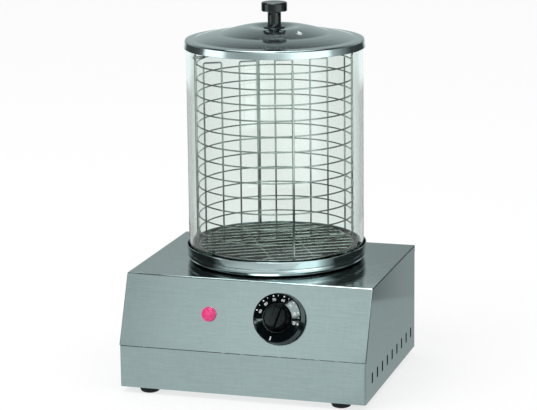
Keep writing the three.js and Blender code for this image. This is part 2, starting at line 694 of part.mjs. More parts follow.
// Basket floor: parallel wires lying on the lowest ring, tied by two cross wires below them.
{
  const z = floorZ + RING_WIRE_R + GAP + RING_WIRE_R;
  const side = (FLOOR_N - 1) / 2;
  const parts = [];
  for (let i = -side; i <= side; i += 1) {
    const y = i * floorPitch;
    const half = Math.sqrt(ringR * ringR - y * y);
    parts.push(wireBetween([-half, y, z], [half, y, z], RING_WIRE_R, 5));
  }
  const reach = floorPitch * side + RING_WIRE_R;
  for (const x of [-FLOOR_TIE_X, FLOOR_TIE_X]) {
    parts.push(wireBetween([x, -reach, z - RING_WIRE_R], [x, reach, z - RING_WIRE_R], RING_WIRE_R, 5));
  }
  add('basket_floor', turnBasket(join(...parts)), wire);
}

// Partition: one wire bent up and down across the middle of the basket.
{
  const low = floorZ + RING_WIRE_R * 3 + GAP * 2;
  const end = GRID_WIRE_R * 0.4;
  const parts = [];
  for (let i = 0; i < GRID_N; i += 1) {
    const x = (i - (GRID_N - 1) / 2) * gridPitch;
    parts.push(wireBetween([x, 0, low + end], [x, 0, gridTop - end], GRID_WIRE_R, 6));
    if (i < GRID_N - 1) {
      const z = i % 2 === 0 ? gridTop - GRID_WIRE_R : low + GRID_WIRE_R;
      parts.push(wireBetween([x - end, 0, z], [x + gridPitch + end, 0, z], GRID_WIRE_R * 0.97, 7));
    }
  }
  add('basket_partition', turnBasket(join(...parts)), wire);
}

// Bail: half a hoop folded down to the back, with its ends turned out through the eyes.
{
  const section = new THREE.Shape();
  section.absarc(0, 0, BAIL_WIRE_R, 0, Math.PI * 2, false);
  const arc = new THREE.CatmullRomCurve3([...Array(17).keys()].map((i) => {
    const a = i / 16 * Math.PI;
    return new THREE.Vector3(bailR * Math.cos(a), bailR * Math.sin(a), eyeZ);
  }));
  const hoop = new THREE.ExtrudeGeometry(section, {
    extrudePath: arc, steps: 24, bevelEnabled: false, curveSegments: 3,
  });
  const reach = postR + POST_WIRE_R + PIN_OVER;
  const pins = [-1, 1].map((side) => wireBetween(
    [side * (bailR - BAIL_WIRE_R * 0.6), 0, eyeZ], [side * reach, 0, eyeZ], BAIL_WIRE_R, 8));
  add('basket_bail', turnBasket(join(hoop, ...pins)), wire);
}

// The finished frame stands on the floor, centred on its own bounding box.
const bounds = new THREE.Box3().setFromObject(group);
const shift = new THREE.Vector3(
  -(bounds.min.x + bounds.max.x) / 2, -(bounds.min.y + bounds.max.y) / 2, -bounds.min.z);
group.traverse((o) => {
  if (o.isMesh) o.geometry.translate(shift.x, shift.y, shift.z);
});

export default group;
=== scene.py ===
import math

import bmesh
import bpy
import numpy as np
from mathutils import Matrix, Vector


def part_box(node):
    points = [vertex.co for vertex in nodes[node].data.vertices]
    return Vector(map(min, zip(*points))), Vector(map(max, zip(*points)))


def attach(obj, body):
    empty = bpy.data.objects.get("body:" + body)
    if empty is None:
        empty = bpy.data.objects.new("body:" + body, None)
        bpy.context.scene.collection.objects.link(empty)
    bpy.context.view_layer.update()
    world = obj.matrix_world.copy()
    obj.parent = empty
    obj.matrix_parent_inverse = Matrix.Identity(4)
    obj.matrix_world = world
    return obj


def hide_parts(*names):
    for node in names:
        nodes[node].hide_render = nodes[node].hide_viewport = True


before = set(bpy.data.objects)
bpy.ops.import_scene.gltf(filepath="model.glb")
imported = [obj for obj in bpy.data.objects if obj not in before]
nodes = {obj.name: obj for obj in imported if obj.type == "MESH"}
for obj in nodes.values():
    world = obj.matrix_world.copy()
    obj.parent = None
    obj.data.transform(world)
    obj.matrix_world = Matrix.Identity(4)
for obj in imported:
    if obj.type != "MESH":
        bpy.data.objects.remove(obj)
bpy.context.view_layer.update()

# Camera. It stands 2.4 m in front of the warmer, a little to the right of it and above the lid,
# where it was fitted to points measured in the photograph.
glass_lo, glass_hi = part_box("glass_cylinder")
axis_y = (glass_lo.y + glass_hi.y) / 2
top_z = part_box("casing_top")[1].z


def stand(points):
    """Millimetres about the glass axis, with zero on the casing's top face, to the frame's metres."""
    return np.asarray(points, float) / 1000 + np.array([0, axis_y, top_z])


def put(name, data):
    """An object of the scene that carries the data."""
    made = bpy.data.objects.new(name, data)
    bpy.context.scene.collection.objects.link(made)
    return made


def facing(side, top, forward, place):
    """The matrix of a camera or lamp at a place, from its right, up and forward directions."""
    return Matrix([[side[k], top[k], -forward[k], place[k]] for k in range(3)] + [[0, 0, 0, 1]])


photo_w, photo_h = 537, 410
view_turn, view_yaw, view_pitch, view_roll = 0.2922, 0.2754, 0.2087, -0.0071
view_reach, view_height, focal_px, centre_px = 2409.0, 608.0, 2158.2, (311.46, 172.78)
eye = stand([view_reach * math.sin(view_turn), -view_reach * math.cos(view_turn), view_height])
ahead = np.array([-math.sin(view_yaw), math.cos(view_yaw), 0])
across = np.array([math.cos(view_yaw), math.sin(view_yaw), 0])
upward = np.array([0, 0, 1.0])
look = math.cos(view_pitch) * ahead - math.sin(view_pitch) * upward
tall = math.sin(view_pitch) * ahead + math.cos(view_pitch) * upward
right = math.cos(view_roll) * across + math.sin(view_roll) * tall
tall = -math.sin(view_roll) * across + math.cos(view_roll) * tall
camera_data = bpy.data.cameras.new("studio_camera")
camera_data.sensor_width = 36
camera_data.lens = focal_px / photo_w * camera_data.sensor_width
camera_data.shift_x = (photo_w / 2 - centre_px[0]) / photo_w
camera_data.shift_y = (centre_px[1] - photo_h / 2) / photo_w
camera = put("studio_camera", camera_data)
camera.matrix_world = facing(right, tall, look, eye)
bpy.context.scene.camera = camera

# Casing top. One sheet of brushed stainless steel, 1.2 mm thick: the flat top and the slanted
# front panel with a bend between them, and a short flange turned down at the back. Holes are
# punched for the pan, the dial's shaft and the pilot lamp.
half_w, sheet_t = 141.4, 1.2
top_front, top_back, flange_drop = -111.3, 92.5, 8.4
slant_run, slant_drop = 30.9, 75.7
slant = math.atan2(slant_run, slant_drop)
fold_y = top_front - slant_run
flange_bend, top_bend = 1.8, 2.9
control_x, control_s = 40.8, 40.4
pan_hole, shaft_hole, lamp_hole = 77, 3.6, 5.4


def rounded(points, radii, closed=False, steps=6):
    """A path through the points with each corner rounded: the corner gives way to an arc that is
    tangent to both sides, with one more point a little before and after it to keep flats flat."""
    points = np.asarray(points, float)
    out = []
    for i, radius in enumerate(radii):
        p = points[i]
        if radius == 0 or (not closed and i in (0, len(points) - 1)):
            out.append(p[None])
            continue
        a, b = points[i - 1] - p, points[(i + 1) % len(points)] - p
        la, lb = np.hypot(*a), np.hypot(*b)
        a, b = a / la, b / lb
        half = math.acos(float(np.clip(a @ b, -1, 1))) / 2
        reach = min(radius / math.tan(half), 0.46 * la, 0.46 * lb)
        r = reach * math.tan(half)
        centre = p + (a + b) / np.hypot(*(a + b)) * r / math.sin(half)
        start, end = p + a * reach - centre, p + b * reach - centre
        side = math.copysign(1, start[0] * end[1] - start[1] * end[0])
        t = np.linspace(0, math.pi - 2 * half, steps + 1)[:, None] * side
        arc = centre + np.cos(t) * start + np.sin(t) * np.array([-start[1], start[0]])
        ease = min(0.2, 0.03 * la, 0.03 * lb)
        out.append(np.vstack([p + a * (reach + ease), arc, p + b * (reach + ease)]))
    return np.vstack(out)


def smooth(piece):
    """All of a piece's faces shaded smooth."""
    faces = piece.data.polygons
    faces.foreach_set("use_smooth", np.ones(len(faces), bool))


def skin(name, *patches):
    """A smooth mesh over grids of points. In each patch point (i, j) is joined to (i + 1, j) and
    (i, j + 1), and round the end where it wraps. Doubled points at poles and seams are merged."""
    verts, faces, start = [], [], 0
    for grid, wrap_u, wrap_v in patches:
        nu, nv = grid.shape[:2]
        i, j = np.meshgrid(np.arange(nu - (not wrap_u)), np.arange(nv - (not wrap_v)), indexing="ij")
        i2, j2 = (i + 1) % nu, (j + 1) % nv
        quads = np.stack([i * nv + j, i2 * nv + j, i2 * nv + j2, i * nv + j2], -1)
        verts.append(grid.reshape(-1, 3))
        faces.append(quads.reshape(-1, 4) + start)
        start += nu * nv
    mesh = bpy.data.meshes.new(name)
    mesh.from_pydata(stand(np.vstack(verts)).tolist(), [], np.vstack(faces).tolist())
    bm = bmesh.new()
    bm.from_mesh(mesh)
    bmesh.ops.remove_doubles(bm, verts=bm.verts, dist=2e-7)
    bmesh.ops.recalc_face_normals(bm, faces=bm.faces)
    bm.to_mesh(mesh)
    bm.free()
    piece = put(name, mesh)
    smooth(piece)
    return piece


def axes(a, b, c, order):
    """Three coordinate arrays put in the order of the axes named, such as 'yzx'."""
    by = dict(zip(order, (a, b, c)))
    return np.stack([by["x"], by["y"], by["z"]], -1)


def folded(path, thick, lo, hi, order):
    """Sheet carried straight from lo to hi: each point of the path becomes a loop of four corners,
    two on the path and two at the sheet's thickness to its left, and both ends are closed."""
    step = np.gradient(path, axis=0)
    step /= np.hypot(step[:, 0], step[:, 1])[:, None]
    left = np.stack([-step[:, 1], step[:, 0]], -1)
    first = np.vstack([path[1] - path[0], path[-1] - path[-2]])
    first /= np.hypot(first[:, 0], first[:, 1])[:, None]
    left[0], left[-1] = (-first[0, 1], first[0, 0]), (-first[1, 1], first[1, 0])
    inner = path + left * thick
    loop = np.stack([path, path, inner, inner], 1)
    along = np.broadcast_to(np.array([lo, hi, hi, lo], float), loop.shape[:2])
    loop = np.concatenate([loop, along[..., None]], -1)
    ends = loop[[0, -1]].mean(1, keepdims=True).repeat(4, 1)
    loop = np.concatenate([ends[:1], loop, ends[1:]])
    return axes(loop[..., 0], loop[..., 1], loop[..., 2], order), False, True


def prism(outline, lo, hi, order):
    """A closed outline carried straight from lo to hi, both ends drawn together to their middle."""
    outline = np.asarray(outline, float)
    mid = outline.mean(0, keepdims=True).repeat(len(outline), 0)
    a = np.stack([mid, outline, outline, mid])
    z = np.array([lo, lo, hi, hi], float)[:, None].repeat(len(outline), 1)
    return axes(a[..., 0], a[..., 1], z, order), False, True


def circle(radius, count, x=0.0, y=0.0):
    """Points of a circle round (x, y), at even angles."""
    t = np.linspace(0, 2 * math.pi, count, endpoint=False)
    return np.stack([x + radius * np.cos(t), y + radius * np.sin(t)], -1)


def on_slant(patch, x, s):
    """A patch modelled about Z stood on the slanted panel, s down the slope, its Y up the slope."""
    grid, wrap_u, wrap_v = patch
    c, n = math.cos(slant), math.sin(slant)
    y = top_front - s * n + grid[..., 1] * n - grid[..., 2] * c
    z = -s * c + grid[..., 1] * c + grid[..., 2] * n
    return np.stack([grid[..., 0] + x, y, z], -1), wrap_u, wrap_v


def settle(piece):
    """The piece's modifiers carried out for good."""
    bpy.context.view_layer.update()
    done = piece.evaluated_get(bpy.context.evaluated_depsgraph_get())
    mesh = bpy.data.meshes.new_from_object(done)
    piece.modifiers.clear()
    old, piece.data = piece.data, mesh
    mesh.name = piece.name
    bpy.data.meshes.remove(old)


def punch(piece, *cutters):
    """Holes cut through a piece with closed cutters, taken away afterwards."""
    tool = skin("cutter", *cutters)
    hole = piece.modifiers.new("holes", "BOOLEAN")
    hole.object, hole.operation, hole.solver = tool, "DIFFERENCE", "EXACT"
    settle(piece)
    bpy.data.objects.remove(tool)


def soften(piece, width, segments=2):
    """The last of the tooling: edges sharper than 40 degrees get a small round that keeps flats flat."""
    smooth(piece)
    bevel = piece.modifiers.new("edges", "BEVEL")
    bevel.width, bevel.segments = width / 1000, segments
    bevel.limit_method, bevel.angle_limit = "ANGLE", math.radians(40)
    bevel.harden_normals = True


def group(name, inputs, outputs):
    """A node group with its input and output sockets; returns the tree and its two end nodes."""
    tree = bpy.data.node_groups.new(name, "ShaderNodeTree")
    for label, kind, value in inputs:
        socket = tree.interface.new_socket(label, in_out="INPUT", socket_type=kind)
        socket.default_value = value
    for label, kind in outputs:
        tree.interface.new_socket(label, in_out="OUTPUT", socket_type=kind)
    return tree, tree.nodes.new("NodeGroupInput"), tree.nodes.new("NodeGroupOutput")


def feed(tree, source, socket):
    """A socket linked from another one, or set to a number, a vector or a colour of three values."""
    if hasattr(source, "is_linked"):
        tree.links.new(source, socket)
    else:
        socket.default_value = (*source, 1) if socket.type == "RGBA" and len(source) == 3 else source


def node(tree, kind, sources=None, **values):
    """A node with its properties or sockets set by name, then its sockets fed by number or label."""
    made = tree.nodes.new(kind)
    for key, value in values.items():
        if hasattr(made, key):
            setattr(made, key, value)
        else:
            feed(tree, value, made.inputs[key.replace("_", " ")])
    for key, source in (sources or {}).items():
        feed(tree, source, made.inputs[key])
    return made


def drive(tree, made, **sources):
    """The sockets of a shader or of a group's end fed by name."""
    for key, source in sources.items():
        feed(tree, source, made.inputs[key.replace("_", " ")])


def noise_at(tree, scale, detail=3):
    """Noise on Object coordinates, in cells per metre: one number, or one for each axis."""
    where = tree.nodes.new("ShaderNodeTexCoord").outputs["Object"]
    cells = scale if isinstance(scale, tuple) else (scale, scale, scale)
    mapping = node(tree, "ShaderNodeMapping", {"Vector": where, "Scale": cells})
    return node(tree, "ShaderNodeTexNoise", {"Vector": mapping.outputs[0]},
                Scale=1.0, Detail=detail, Roughness=0.55).outputs["Fac"]


def mathed(tree, operation, a, b=0.5, clamp=False):
    """One Math node on two sockets or numbers."""
    return node(tree, "ShaderNodeMath", {0: a, 1: b}, operation=operation, use_clamp=clamp).outputs[0]


def plus(tree, a, b, clamp=False):
    """The sum of two values."""
    return mathed(tree, "ADD", a, b, clamp)


def times(tree, a, b):
    """The product of two values."""
    return mathed(tree, "MULTIPLY", a, b)


def sway(tree, value, middle, amount):
    """How far a value lies from its middle, times an amount."""
    return times(tree, mathed(tree, "SUBTRACT", value, middle), amount)


def spread(tree, value, low, high, to_low=0.0, to_high=1.0):
    """A value between low and high carried to the range to_low to to_high, and clamped."""
    return node(tree, "ShaderNodeMapRange", {"Value": value, "From Min": low, "From Max": high,
                                             "To Min": to_low, "To Max": to_high}).outputs["Result"]


def between(tree, kind, factor, a, b, how="MIX"):
    """A number or colour that goes from a to b as the factor goes from 0 to 1."""
    return node(tree, "ShaderNodeMix", {"Factor": factor, "A": a, "B": b},
                data_type=kind, blend_type=how).outputs["Result"]


def shade(tree, colour, factor):
    """A colour multiplied by a value."""
    return between(tree, "RGBA", 1.0, colour, factor, "MULTIPLY")


def embossed(tree, height, strength, depth):
    """The normal tilted by the slope of a height."""
    return node(tree, "ShaderNodeBump", {"Height": height}, Strength=strength, Distance=depth).outputs[0]


def finish(name, **sockets):
    """A material with one Principled shader and the given sockets set on it."""
    material = bpy.data.materials.new(name)
    material.use_nodes = True
    tree = material.node_tree
    shader = tree.nodes["Principled BSDF"]
    drive(tree, shader, **sockets)
    return material, tree, shader


def wear(piece, material):
    """The piece takes the material in its one slot."""
    piece.data.materials.clear()
    piece.data.materials.append(material)


marks_out = [("Shade", "NodeSocketFloat"), ("Roughness", "NodeSocketFloat"), ("Normal", "NodeSocketVector")]


def brushed_grain():
    """Grain of rolled and brushed sheet: long fine streaks along X, along Y on the sides, crossed by
    weaker ones, and a slow cloudiness. Gives a shade round 1, a roughness shift and a normal."""
    tree, ins, outs = group("brushed_grain", [
        ("Streaks", "NodeSocketFloat", 0.1), ("Clouds", "NodeSocketFloat", 0.05),
        ("Depth", "NodeSocketFloat", 0.1), ("Base Roughness", "NodeSocketFloat", 0.3)], marks_out)
    normal = tree.nodes.new("ShaderNodeNewGeometry").outputs["Normal"]
    split = node(tree, "ShaderNodeSeparateXYZ", {"Vector": normal})
    side = mathed(tree, "GREATER_THAN", mathed(tree, "ABSOLUTE", split.outputs["X"]), 0.7)

    def either(front, flank):
        return between(tree, "FLOAT", side, noise_at(tree, front), noise_at(tree, flank))

    long = either((50, 560, 560), (560, 50, 560))
    hair = either((90, 1600, 1600), (1600, 90, 1600))
    cross = either((560, 70, 70), (560, 560, 70))
    grain = plus(tree, plus(tree, times(tree, long, 0.5), times(tree, hair, 0.2)), times(tree, cross, 0.3))
    streak = sway(tree, grain, 0.5, ins.outputs["Streaks"])
    slow = sway(tree, noise_at(tree, 9, 2), 0.5, ins.outputs["Clouds"])
    rough = plus(tree, ins.outputs["Base Roughness"], times(tree, streak, 0.6), True)
    drive(tree, outs, Shade=plus(tree, plus(tree, streak, slow), 1.0),
          Roughness=plus(tree, rough, slow, True),
          Normal=embossed(tree, grain, ins.outputs["Depth"], 0.0004))
    return tree


brushed = brushed_grain()


def marked_metal(name, colour, marks, **values):
    """Bare metal whose shade, roughness and normal come from a group of marks."""
    material, tree, shader = finish(name, Metallic=1.0)
    made = node(tree, "ShaderNodeGroup", node_tree=marks, **values)
    drive(tree, shader, Base_Color=shade(tree, colour, made.outputs["Shade"]),
          Roughness=made.outputs["Roughness"], Normal=made.outputs["Normal"])
    return material


def placed_control(patch, side=1):
    """A patch stood on the slanted panel at the dial, or with side -1 at the pilot lamp."""
    return on_slant(patch, side * control_x, control_s)


casing_steel = marked_metal("brushed_casing_steel", (0.475, 0.53, 0.53), brushed,
                            Streaks=0.42, Clouds=0.12, Depth=0.05, Base_Roughness=0.12)
top_path = rounded([(top_back, -flange_drop), (top_back, 0), (top_front, 0), (fold_y, -slant_drop)],
                   [0, flange_bend, top_bend, 0])
casing_top = skin("casing_top_sheet", folded(top_path, sheet_t, -half_w, half_w, "yzx"))
punch(casing_top, prism(circle(pan_hole, 96), -8, 8, "xyz"),
      placed_control(prism(circle(shaft_hole, 32), -4, 4, "xyz")),
      placed_control(prism(circle(lamp_hole, 32), -4, 4, "xyz"), -1))
soften(casing_top, 0.5, 3)
wear(casing_top, casing_steel)
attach(casing_top, "base")
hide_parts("casing_top")

# Casing wrap. The lower front band and both sides are one sheet of the same steel folded into a
# U, with nine upright vents punched in each side. It is welded under the top sheet.
case_low, wrap_low_of_top, fold_bend, seat_gap = -123.3, 1.8, 3, 0.3
vent_count, vent_corner, cut_reach = 9, 1.9, 6
vent_pitch, vent_front, vent_w, vent_h, vent_up = 22.97, 29.9, 5.6, 12.1, 22.5


def slot(width, height, y, z, corner):
    """An upright slot with rounded corners, as an outline round (y, z)."""
    w, h = width / 2, height / 2
    corners = [(y - w, z - h), (y + w, z - h), (y + w, z + h), (y - w, z + h)]
    return rounded(corners, [corner] * 4, closed=True)


def through(outline, at, order):
    """A cutter that carries an outline through a sheet which lies at a place on the third axis."""
    return prism(outline, at - cut_reach, at + cut_reach, order)


wrap_back = top_back - sheet_t - seat_gap
wrap_path = rounded([(-half_w, wrap_back), (-half_w, fold_y), (half_w, fold_y), (half_w, wrap_back)],
                    [0, fold_bend, fold_bend, 0], steps=8)
casing_wrap = skin("casing_wrap_sheet", folded(wrap_path, sheet_t, case_low, -wrap_low_of_top, "xyz"))
under_y = top_front + wrap_low_of_top / math.cos(slant) * math.tan(math.pi / 4 - slant / 2)
slope_low = -slant_drop - 0.62
slope_off = prism([(under_y, -wrap_low_of_top), (under_y, 5), (fold_y - 9, 5), (fold_y - 9, slope_low),
                   (fold_y + 2.7, slope_low)], -half_w - 5, half_w + 5, "yzx")
vent_places = [fold_y + vent_front + i * vent_pitch for i in range(vent_count)]
vents = [through(slot(vent_w, vent_h, y, case_low + vent_up, vent_corner), side, "yzx")
         for y in vent_places for side in (-half_w, half_w)]
punch(casing_wrap, slope_off, *vents)
soften(casing_wrap, 0.25)
wear(casing_wrap, casing_steel)
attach(casing_wrap, "base")
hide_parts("casing_wrap")

# Rear panel. A flat sheet screwed in behind, with a row of tall vents and a hole for the inlet.
# Its steel is a plainer grade, duller than the casing's.
rear_y, rear_half_w, rear_top, rear_low = wrap_back, 139.9, -9.6, case_low + 1.8
rear_vent_h, rear_vent_z, screw_hole, inlet_hole = 24.2, -38, 2.1, 6.3
rear_screws = [(sx * 129.4, z) for sx in (-1, 1) for z in (-24, case_low + 10.2)]
inlet_x, inlet_z = 84.9, case_low + 26.2
plain_steel = marked_metal("mill_finish_steel", (0.40, 0.47, 0.47), brushed,
                           Streaks=0.35, Clouds=0.14, Depth=0.06, Base_Roughness=0.34)
rear_path = np.array([(rear_half_w, rear_y), (-rear_half_w, rear_y)])
rear_panel = skin("rear_panel_sheet", folded(rear_path, sheet_t, rear_low, rear_top, "xyz"))
rear_vents = [slot(vent_w, rear_vent_h, (i - vent_count // 2) * vent_pitch, rear_vent_z, vent_corner)
              for i in range(vent_count)]
rear_holes = [circle(screw_hole, 24, x, z) for x, z in rear_screws]
rear_holes.append(circle(inlet_hole, 40, inlet_x, inlet_z))
punch(rear_panel, *[through(outline, rear_y, "xzy") for outline in rear_vents + rear_holes])
soften(rear_panel, 0.2)
wear(rear_panel, plain_steel)
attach(rear_panel, "base")
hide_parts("rear_panel")

# Base plate. A flat sheet between the folded sides, with long vents under the heater and holes
# for the screws of the feet.
foot_x, foot_y = 110.7, (fold_y + 13.2, top_back - 20)
base_half_w, base_vent_h, base_vent_count, foot_hole = 139.6, 60, 7, 2.3
base_path = np.array([(-base_half_w, case_low), (base_half_w, case_low)])
base_plate = skin("base_plate_sheet", folded(base_path, sheet_t, fold_y + 1.8, rear_y - 0.1, "xzy"))
base_holes = [circle(foot_hole, 24, sx * foot_x, y) for sx in (-1, 1) for y in foot_y]
base_vents = [slot(vent_w, base_vent_h, (i - base_vent_count // 2) * vent_pitch, 0, 2.7)
              for i in range(base_vent_count)]
punch(base_plate, *[through(outline, case_low, "xyz") for outline in base_holes + base_vents])
soften(base_plate, 0.2)
wear(base_plate, plain_steel)
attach(base_plate, "base")
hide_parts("base_plate")

# Screws of the casing. Zinc plated pan heads with a cross recess: four hold the rear panel and
# four, upside down in their wells, hold the feet.


def lathe(profile, segments, closed=False, at=(0, 0, 0)):
    """A profile of (radius, height) points carried round the Z axis and moved to a place."""
    profile = np.asarray(profile, float)
    t = np.linspace(0, 2 * math.pi, segments, endpoint=False)[:, None]
    r, z = profile[None, :, 0], profile[None, :, 1]
    grid = np.stack([r * np.cos(t), r * np.sin(t), z + 0 * t], -1) + np.array(at, float)
    return grid, True, closed


def tipped(patch, at, out):
    """A patch modelled about Z laid over so that its top points along out (+Y or -Z)."""
    grid, wrap_u, wrap_v = patch
    x, y, z = grid[..., 0], grid[..., 1], grid[..., 2]
    turned = {"+y": (x, z, -y), "-z": (x, -y, -z)}[out]
    return np.stack(turned, -1) + np.array(at, float), wrap_u, wrap_v


def cross_recess(arm, width, lo, hi):
    """A cross in one outline that cuts a screw's recess: one arm's three corners, turned four times."""
    x, y = np.array([(arm, -width), (arm, width), (width, width)]).T
    outline = np.vstack([np.stack(turned, -1) for turned in ((x, y), (-y, x), (-x, -y), (y, -x))])
    return prism(outline, lo, hi, "xyz")


def flecked(name, colour, scale, detail, tone, rough=None, bump=None, **sockets):
    """A finish broken up by one noise: it carries the colour's shade, and where they are given the
    roughness and a bump. Tone and rough are each a spread of the noise, bump a strength and depth."""
    material, tree, shader = finish(name, **sockets)
    noise = noise_at(tree, scale, detail)
    drive(tree, shader, Base_Color=shade(tree, colour, spread(tree, noise, *tone)))
    if rough:
        drive(tree, shader, Roughness=spread(tree, noise, *rough))
    if bump:
        drive(tree, shader, Normal=embossed(tree, noise, *bump))
    return material


zinc = flecked("zinc_plate", (0.60, 0.62, 0.60), 900, 2, (0.3, 0.7, 0.85, 1.05),
               (0.3, 0.7, 0.22, 0.38), Metallic=1.0)
screw_profile = rounded([(0, -5), (1.8, -5), (1.8, 0.3), (3.6, 0.3), (3.3, 1.9), (2, 2.4), (0, 2.4)],
                        [0, 0.3, 0, 0.3, 0.8, 0.6, 0], steps=4)
screw_places = [(x, rear_y, z) for x, z in rear_screws]
screw_set = skin("rear_screw_set", *[tipped(lathe(screw_profile, 32), p, "+y") for p in screw_places])
punch(screw_set, *[tipped(cross_recess(1.5, 0.35, 1.2, 3), p, "+y") for p in screw_places])
smooth(screw_set)
wear(screw_set, zinc)
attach(screw_set, "base")
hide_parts(*[f"rear_screw_{i}" for i in range(1, 5)])

foot_h, head_t = 7, 2
foot_head = -foot_h + head_t + seat_gap
foot_screw_profile = rounded([(0, foot_head - 2), (2.6, foot_head - 2), (4, foot_head - 1), (4, foot_head),
                              (2, foot_head), (2, 5.2), (0, 5.2)], [0, 0.8, 0.5, 0.2, 0, 0.4, 0], steps=4)
foot_places = [(sx * foot_x, y, case_low) for y in foot_y for sx in (-1, 1)]
foot_screws = skin("foot_screw_set", *[lathe(foot_screw_profile, 32, at=p) for p in foot_places])
punch(foot_screws, *[tipped(cross_recess(1.6, 0.4, 5.8, 8), p, "-z") for p in foot_places])
wear(foot_screws, zinc)
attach(foot_screws, "base")
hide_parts(*[f"foot_screw_{i}" for i in range(1, 5)])

# Feet. Four domed feet of black rubber with a well in the middle for the screw. The moulding
# leaves them faintly grained, and they pick up a little dust.
rubber, tree, shader = finish("black_rubber", IOR=1.5, Specular_IOR_Level=0.25)
dust = noise_at(tree, 60)
drive(tree, shader, Base_Color=shade(tree, (0.006, 0.006, 0.007), spread(tree, dust, 0.35, 0.75, 0.7, 1.9)),
      Roughness=spread(tree, dust, 0.3, 0.7, 0.5, 0.72),
      Normal=embossed(tree, noise_at(tree, 1500, 4), 0.25, 0.0003))

foot_profile = rounded([(2.6, -seat_gap), (11.4, -seat_gap), (11.5, -3.0), (10.2, -6.0), (7.8, -foot_h),
                        (4.6, -foot_h), (4.6, -4.4), (2.6, -4.4)],
                       [0.2, 0.6, 2, 2.4, 1.2, 0.4, 0.3, 0.2], closed=True)
feet = skin("rubber_feet", *[lathe(foot_profile, 64, True, p) for p in foot_places])
wear(feet, rubber)
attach(feet, "base")
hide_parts(*[f"foot_{i}" for i in range(1, 5)])

# Pan. Deep drawn and polished stainless steel: a basin through the top, a ledge, a seat for the
# glass, and round it a bead, a groove and a flared lip with its edge rolled over.


def place_of(tree):
    """A point's Object coordinates, whole and split in three."""
    where = tree.nodes.new("ShaderNodeTexCoord").outputs["Object"]
    return where, node(tree, "ShaderNodeSeparateXYZ", {"Vector": where}).outputs


def vector_math(tree, operation, a, b=(0, 0, 0)):
    """One Vector Math node on two sockets or vectors."""
    return node(tree, "ShaderNodeVectorMath", {0: a, 1: b}, operation=operation).outputs


def away_from(tree, point, along):
    """Distance from an axis through a point: the length of the offset crossed with its direction."""
    offset = vector_math(tree, "SUBTRACT", place_of(tree)[0], point)[0]
    return vector_math(tree, "LENGTH", vector_math(tree, "CROSS_PRODUCT", offset, along)[0])["Value"]


def polish_marks():
    """What polishing and handling leave: hairlines round the axis, and slow smears. Gives a shade
    round 1, a roughness and a normal. The hairlines are noise on radius, angle and height."""
    tree, ins, outs = group("polish_marks", [
        ("Hairlines", "NodeSocketFloat", 0.05), ("Smears", "NodeSocketFloat", 0.05),
        ("Base Roughness", "NodeSocketFloat", 0.1)], marks_out)
    x, y, z = place_of(tree)[1]
    turn = mathed(tree, "ARCTAN2", mathed(tree, "SUBTRACT", y, axis_y), x)
    far = away_from(tree, (0, axis_y, top_z), upward)
    polar = node(tree, "ShaderNodeCombineXYZ", {
        "X": times(tree, far, 1400), "Y": times(tree, turn, 3.0), "Z": sway(tree, z, top_z, 1400)})
    hair = node(tree, "ShaderNodeTexNoise", {"Vector": polar.outputs[0]},
                Scale=1.0, Detail=3.0).outputs["Fac"]
    fine = sway(tree, hair, 0.5, ins.outputs["Hairlines"])
    slow = sway(tree, noise_at(tree, (14, 14, 22)), 0.45, ins.outputs["Smears"])
    drive(tree, outs, Shade=plus(tree, mathed(tree, "SUBTRACT", fine, slow), 1.0),
          Roughness=plus(tree, ins.outputs["Base Roughness"], plus(tree, fine, slow), True),
          Normal=embossed(tree, hair, ins.outputs["Hairlines"], 0.0002))
    return tree


polished = polish_marks()
pan_steel = marked_metal("polished_pan_steel", (0.61, 0.665, 0.67), polished,
                         Hairlines=0.05, Smears=0.05, Base_Roughness=0.09)
tree = pan_steel.node_tree
shader = tree.nodes["Principled BSDF"]
polish = shader.inputs["Base Color"].links[0].from_socket
# Painted shade: nearer the axis than the wall, in the basin, ledge and seat, the steel's colour is painted
# nearly black with a faint mottle. The bead and lip outside keep the polished colour.
painted_shade_mottle = spread(tree, noise_at(tree, 60, 4), 0.35, 0.65, 0.02, 0.06)
outside_wall = spread(tree, away_from(tree, (0, axis_y, 0), upward), 0.0985, 0.1005)
painted_dark_inside = shade(tree, (0.75, 0.9, 0.88), painted_shade_mottle)
drive(tree, shader, Base_Color=between(tree, "RGBA", outside_wall, painted_dark_inside, polish))
lip_top = 18.8
pan_profile = rounded([
    (0, -60), (76, -60), (76, 0.3), (98, 0.3), (100.3, 2.8), (102.0, 5.6), (102.05, 7.6), (101.3, 9.2),
    (102.1, 10.2), (103, 17.9), (102.3, lip_top), (101.7, 17.9), (100.5, 9.4), (100.5, 5), (96.7, 5),
    (95.5, 1.3), (75, 1.3), (75, -59), (0, -59),
], [0, 6, 1.2, 1, 3, 2.5, 2, 0.9, 0.6, 0.5, 0.4, 0.5, 2, 0.6, 0.6, 0.8, 1, 5, 0])
pan = skin("drawn_pan", lathe(pan_profile, 256))
wear(pan, pan_steel)
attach(pan, "base")
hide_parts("pan")

# Thermostat dial. A moulded black knob: a conical skirt, a face ring, a raised round boss and a
# grip bar across it. Dots, ticks and numbers are printed on the face ring in white.
dial_h, dial_lift, base_r, face_r = 12.9, 0.8, 28.8, 27.2
grip_r, grip_h, bar_w, pointer = 15.3, 11.0, 9.4, -15.0


def black_plastic(name, colour, smooth_as, rough_as):
    """Moulded black plastic: a slow mottle in its colour, its gloss and its surface."""
    return flecked(name, colour, 240, 3, (0.3, 0.7, 0.8, 1.2), (0.3, 0.7, smooth_as, rough_as),
                   (0.03, 0.0004), Specular_IOR_Level=0.5, IOR=1.5)


dial_black = black_plastic("dial_black_plastic", (0.002, 0.0038, 0.0043), 0.02, 0.045)

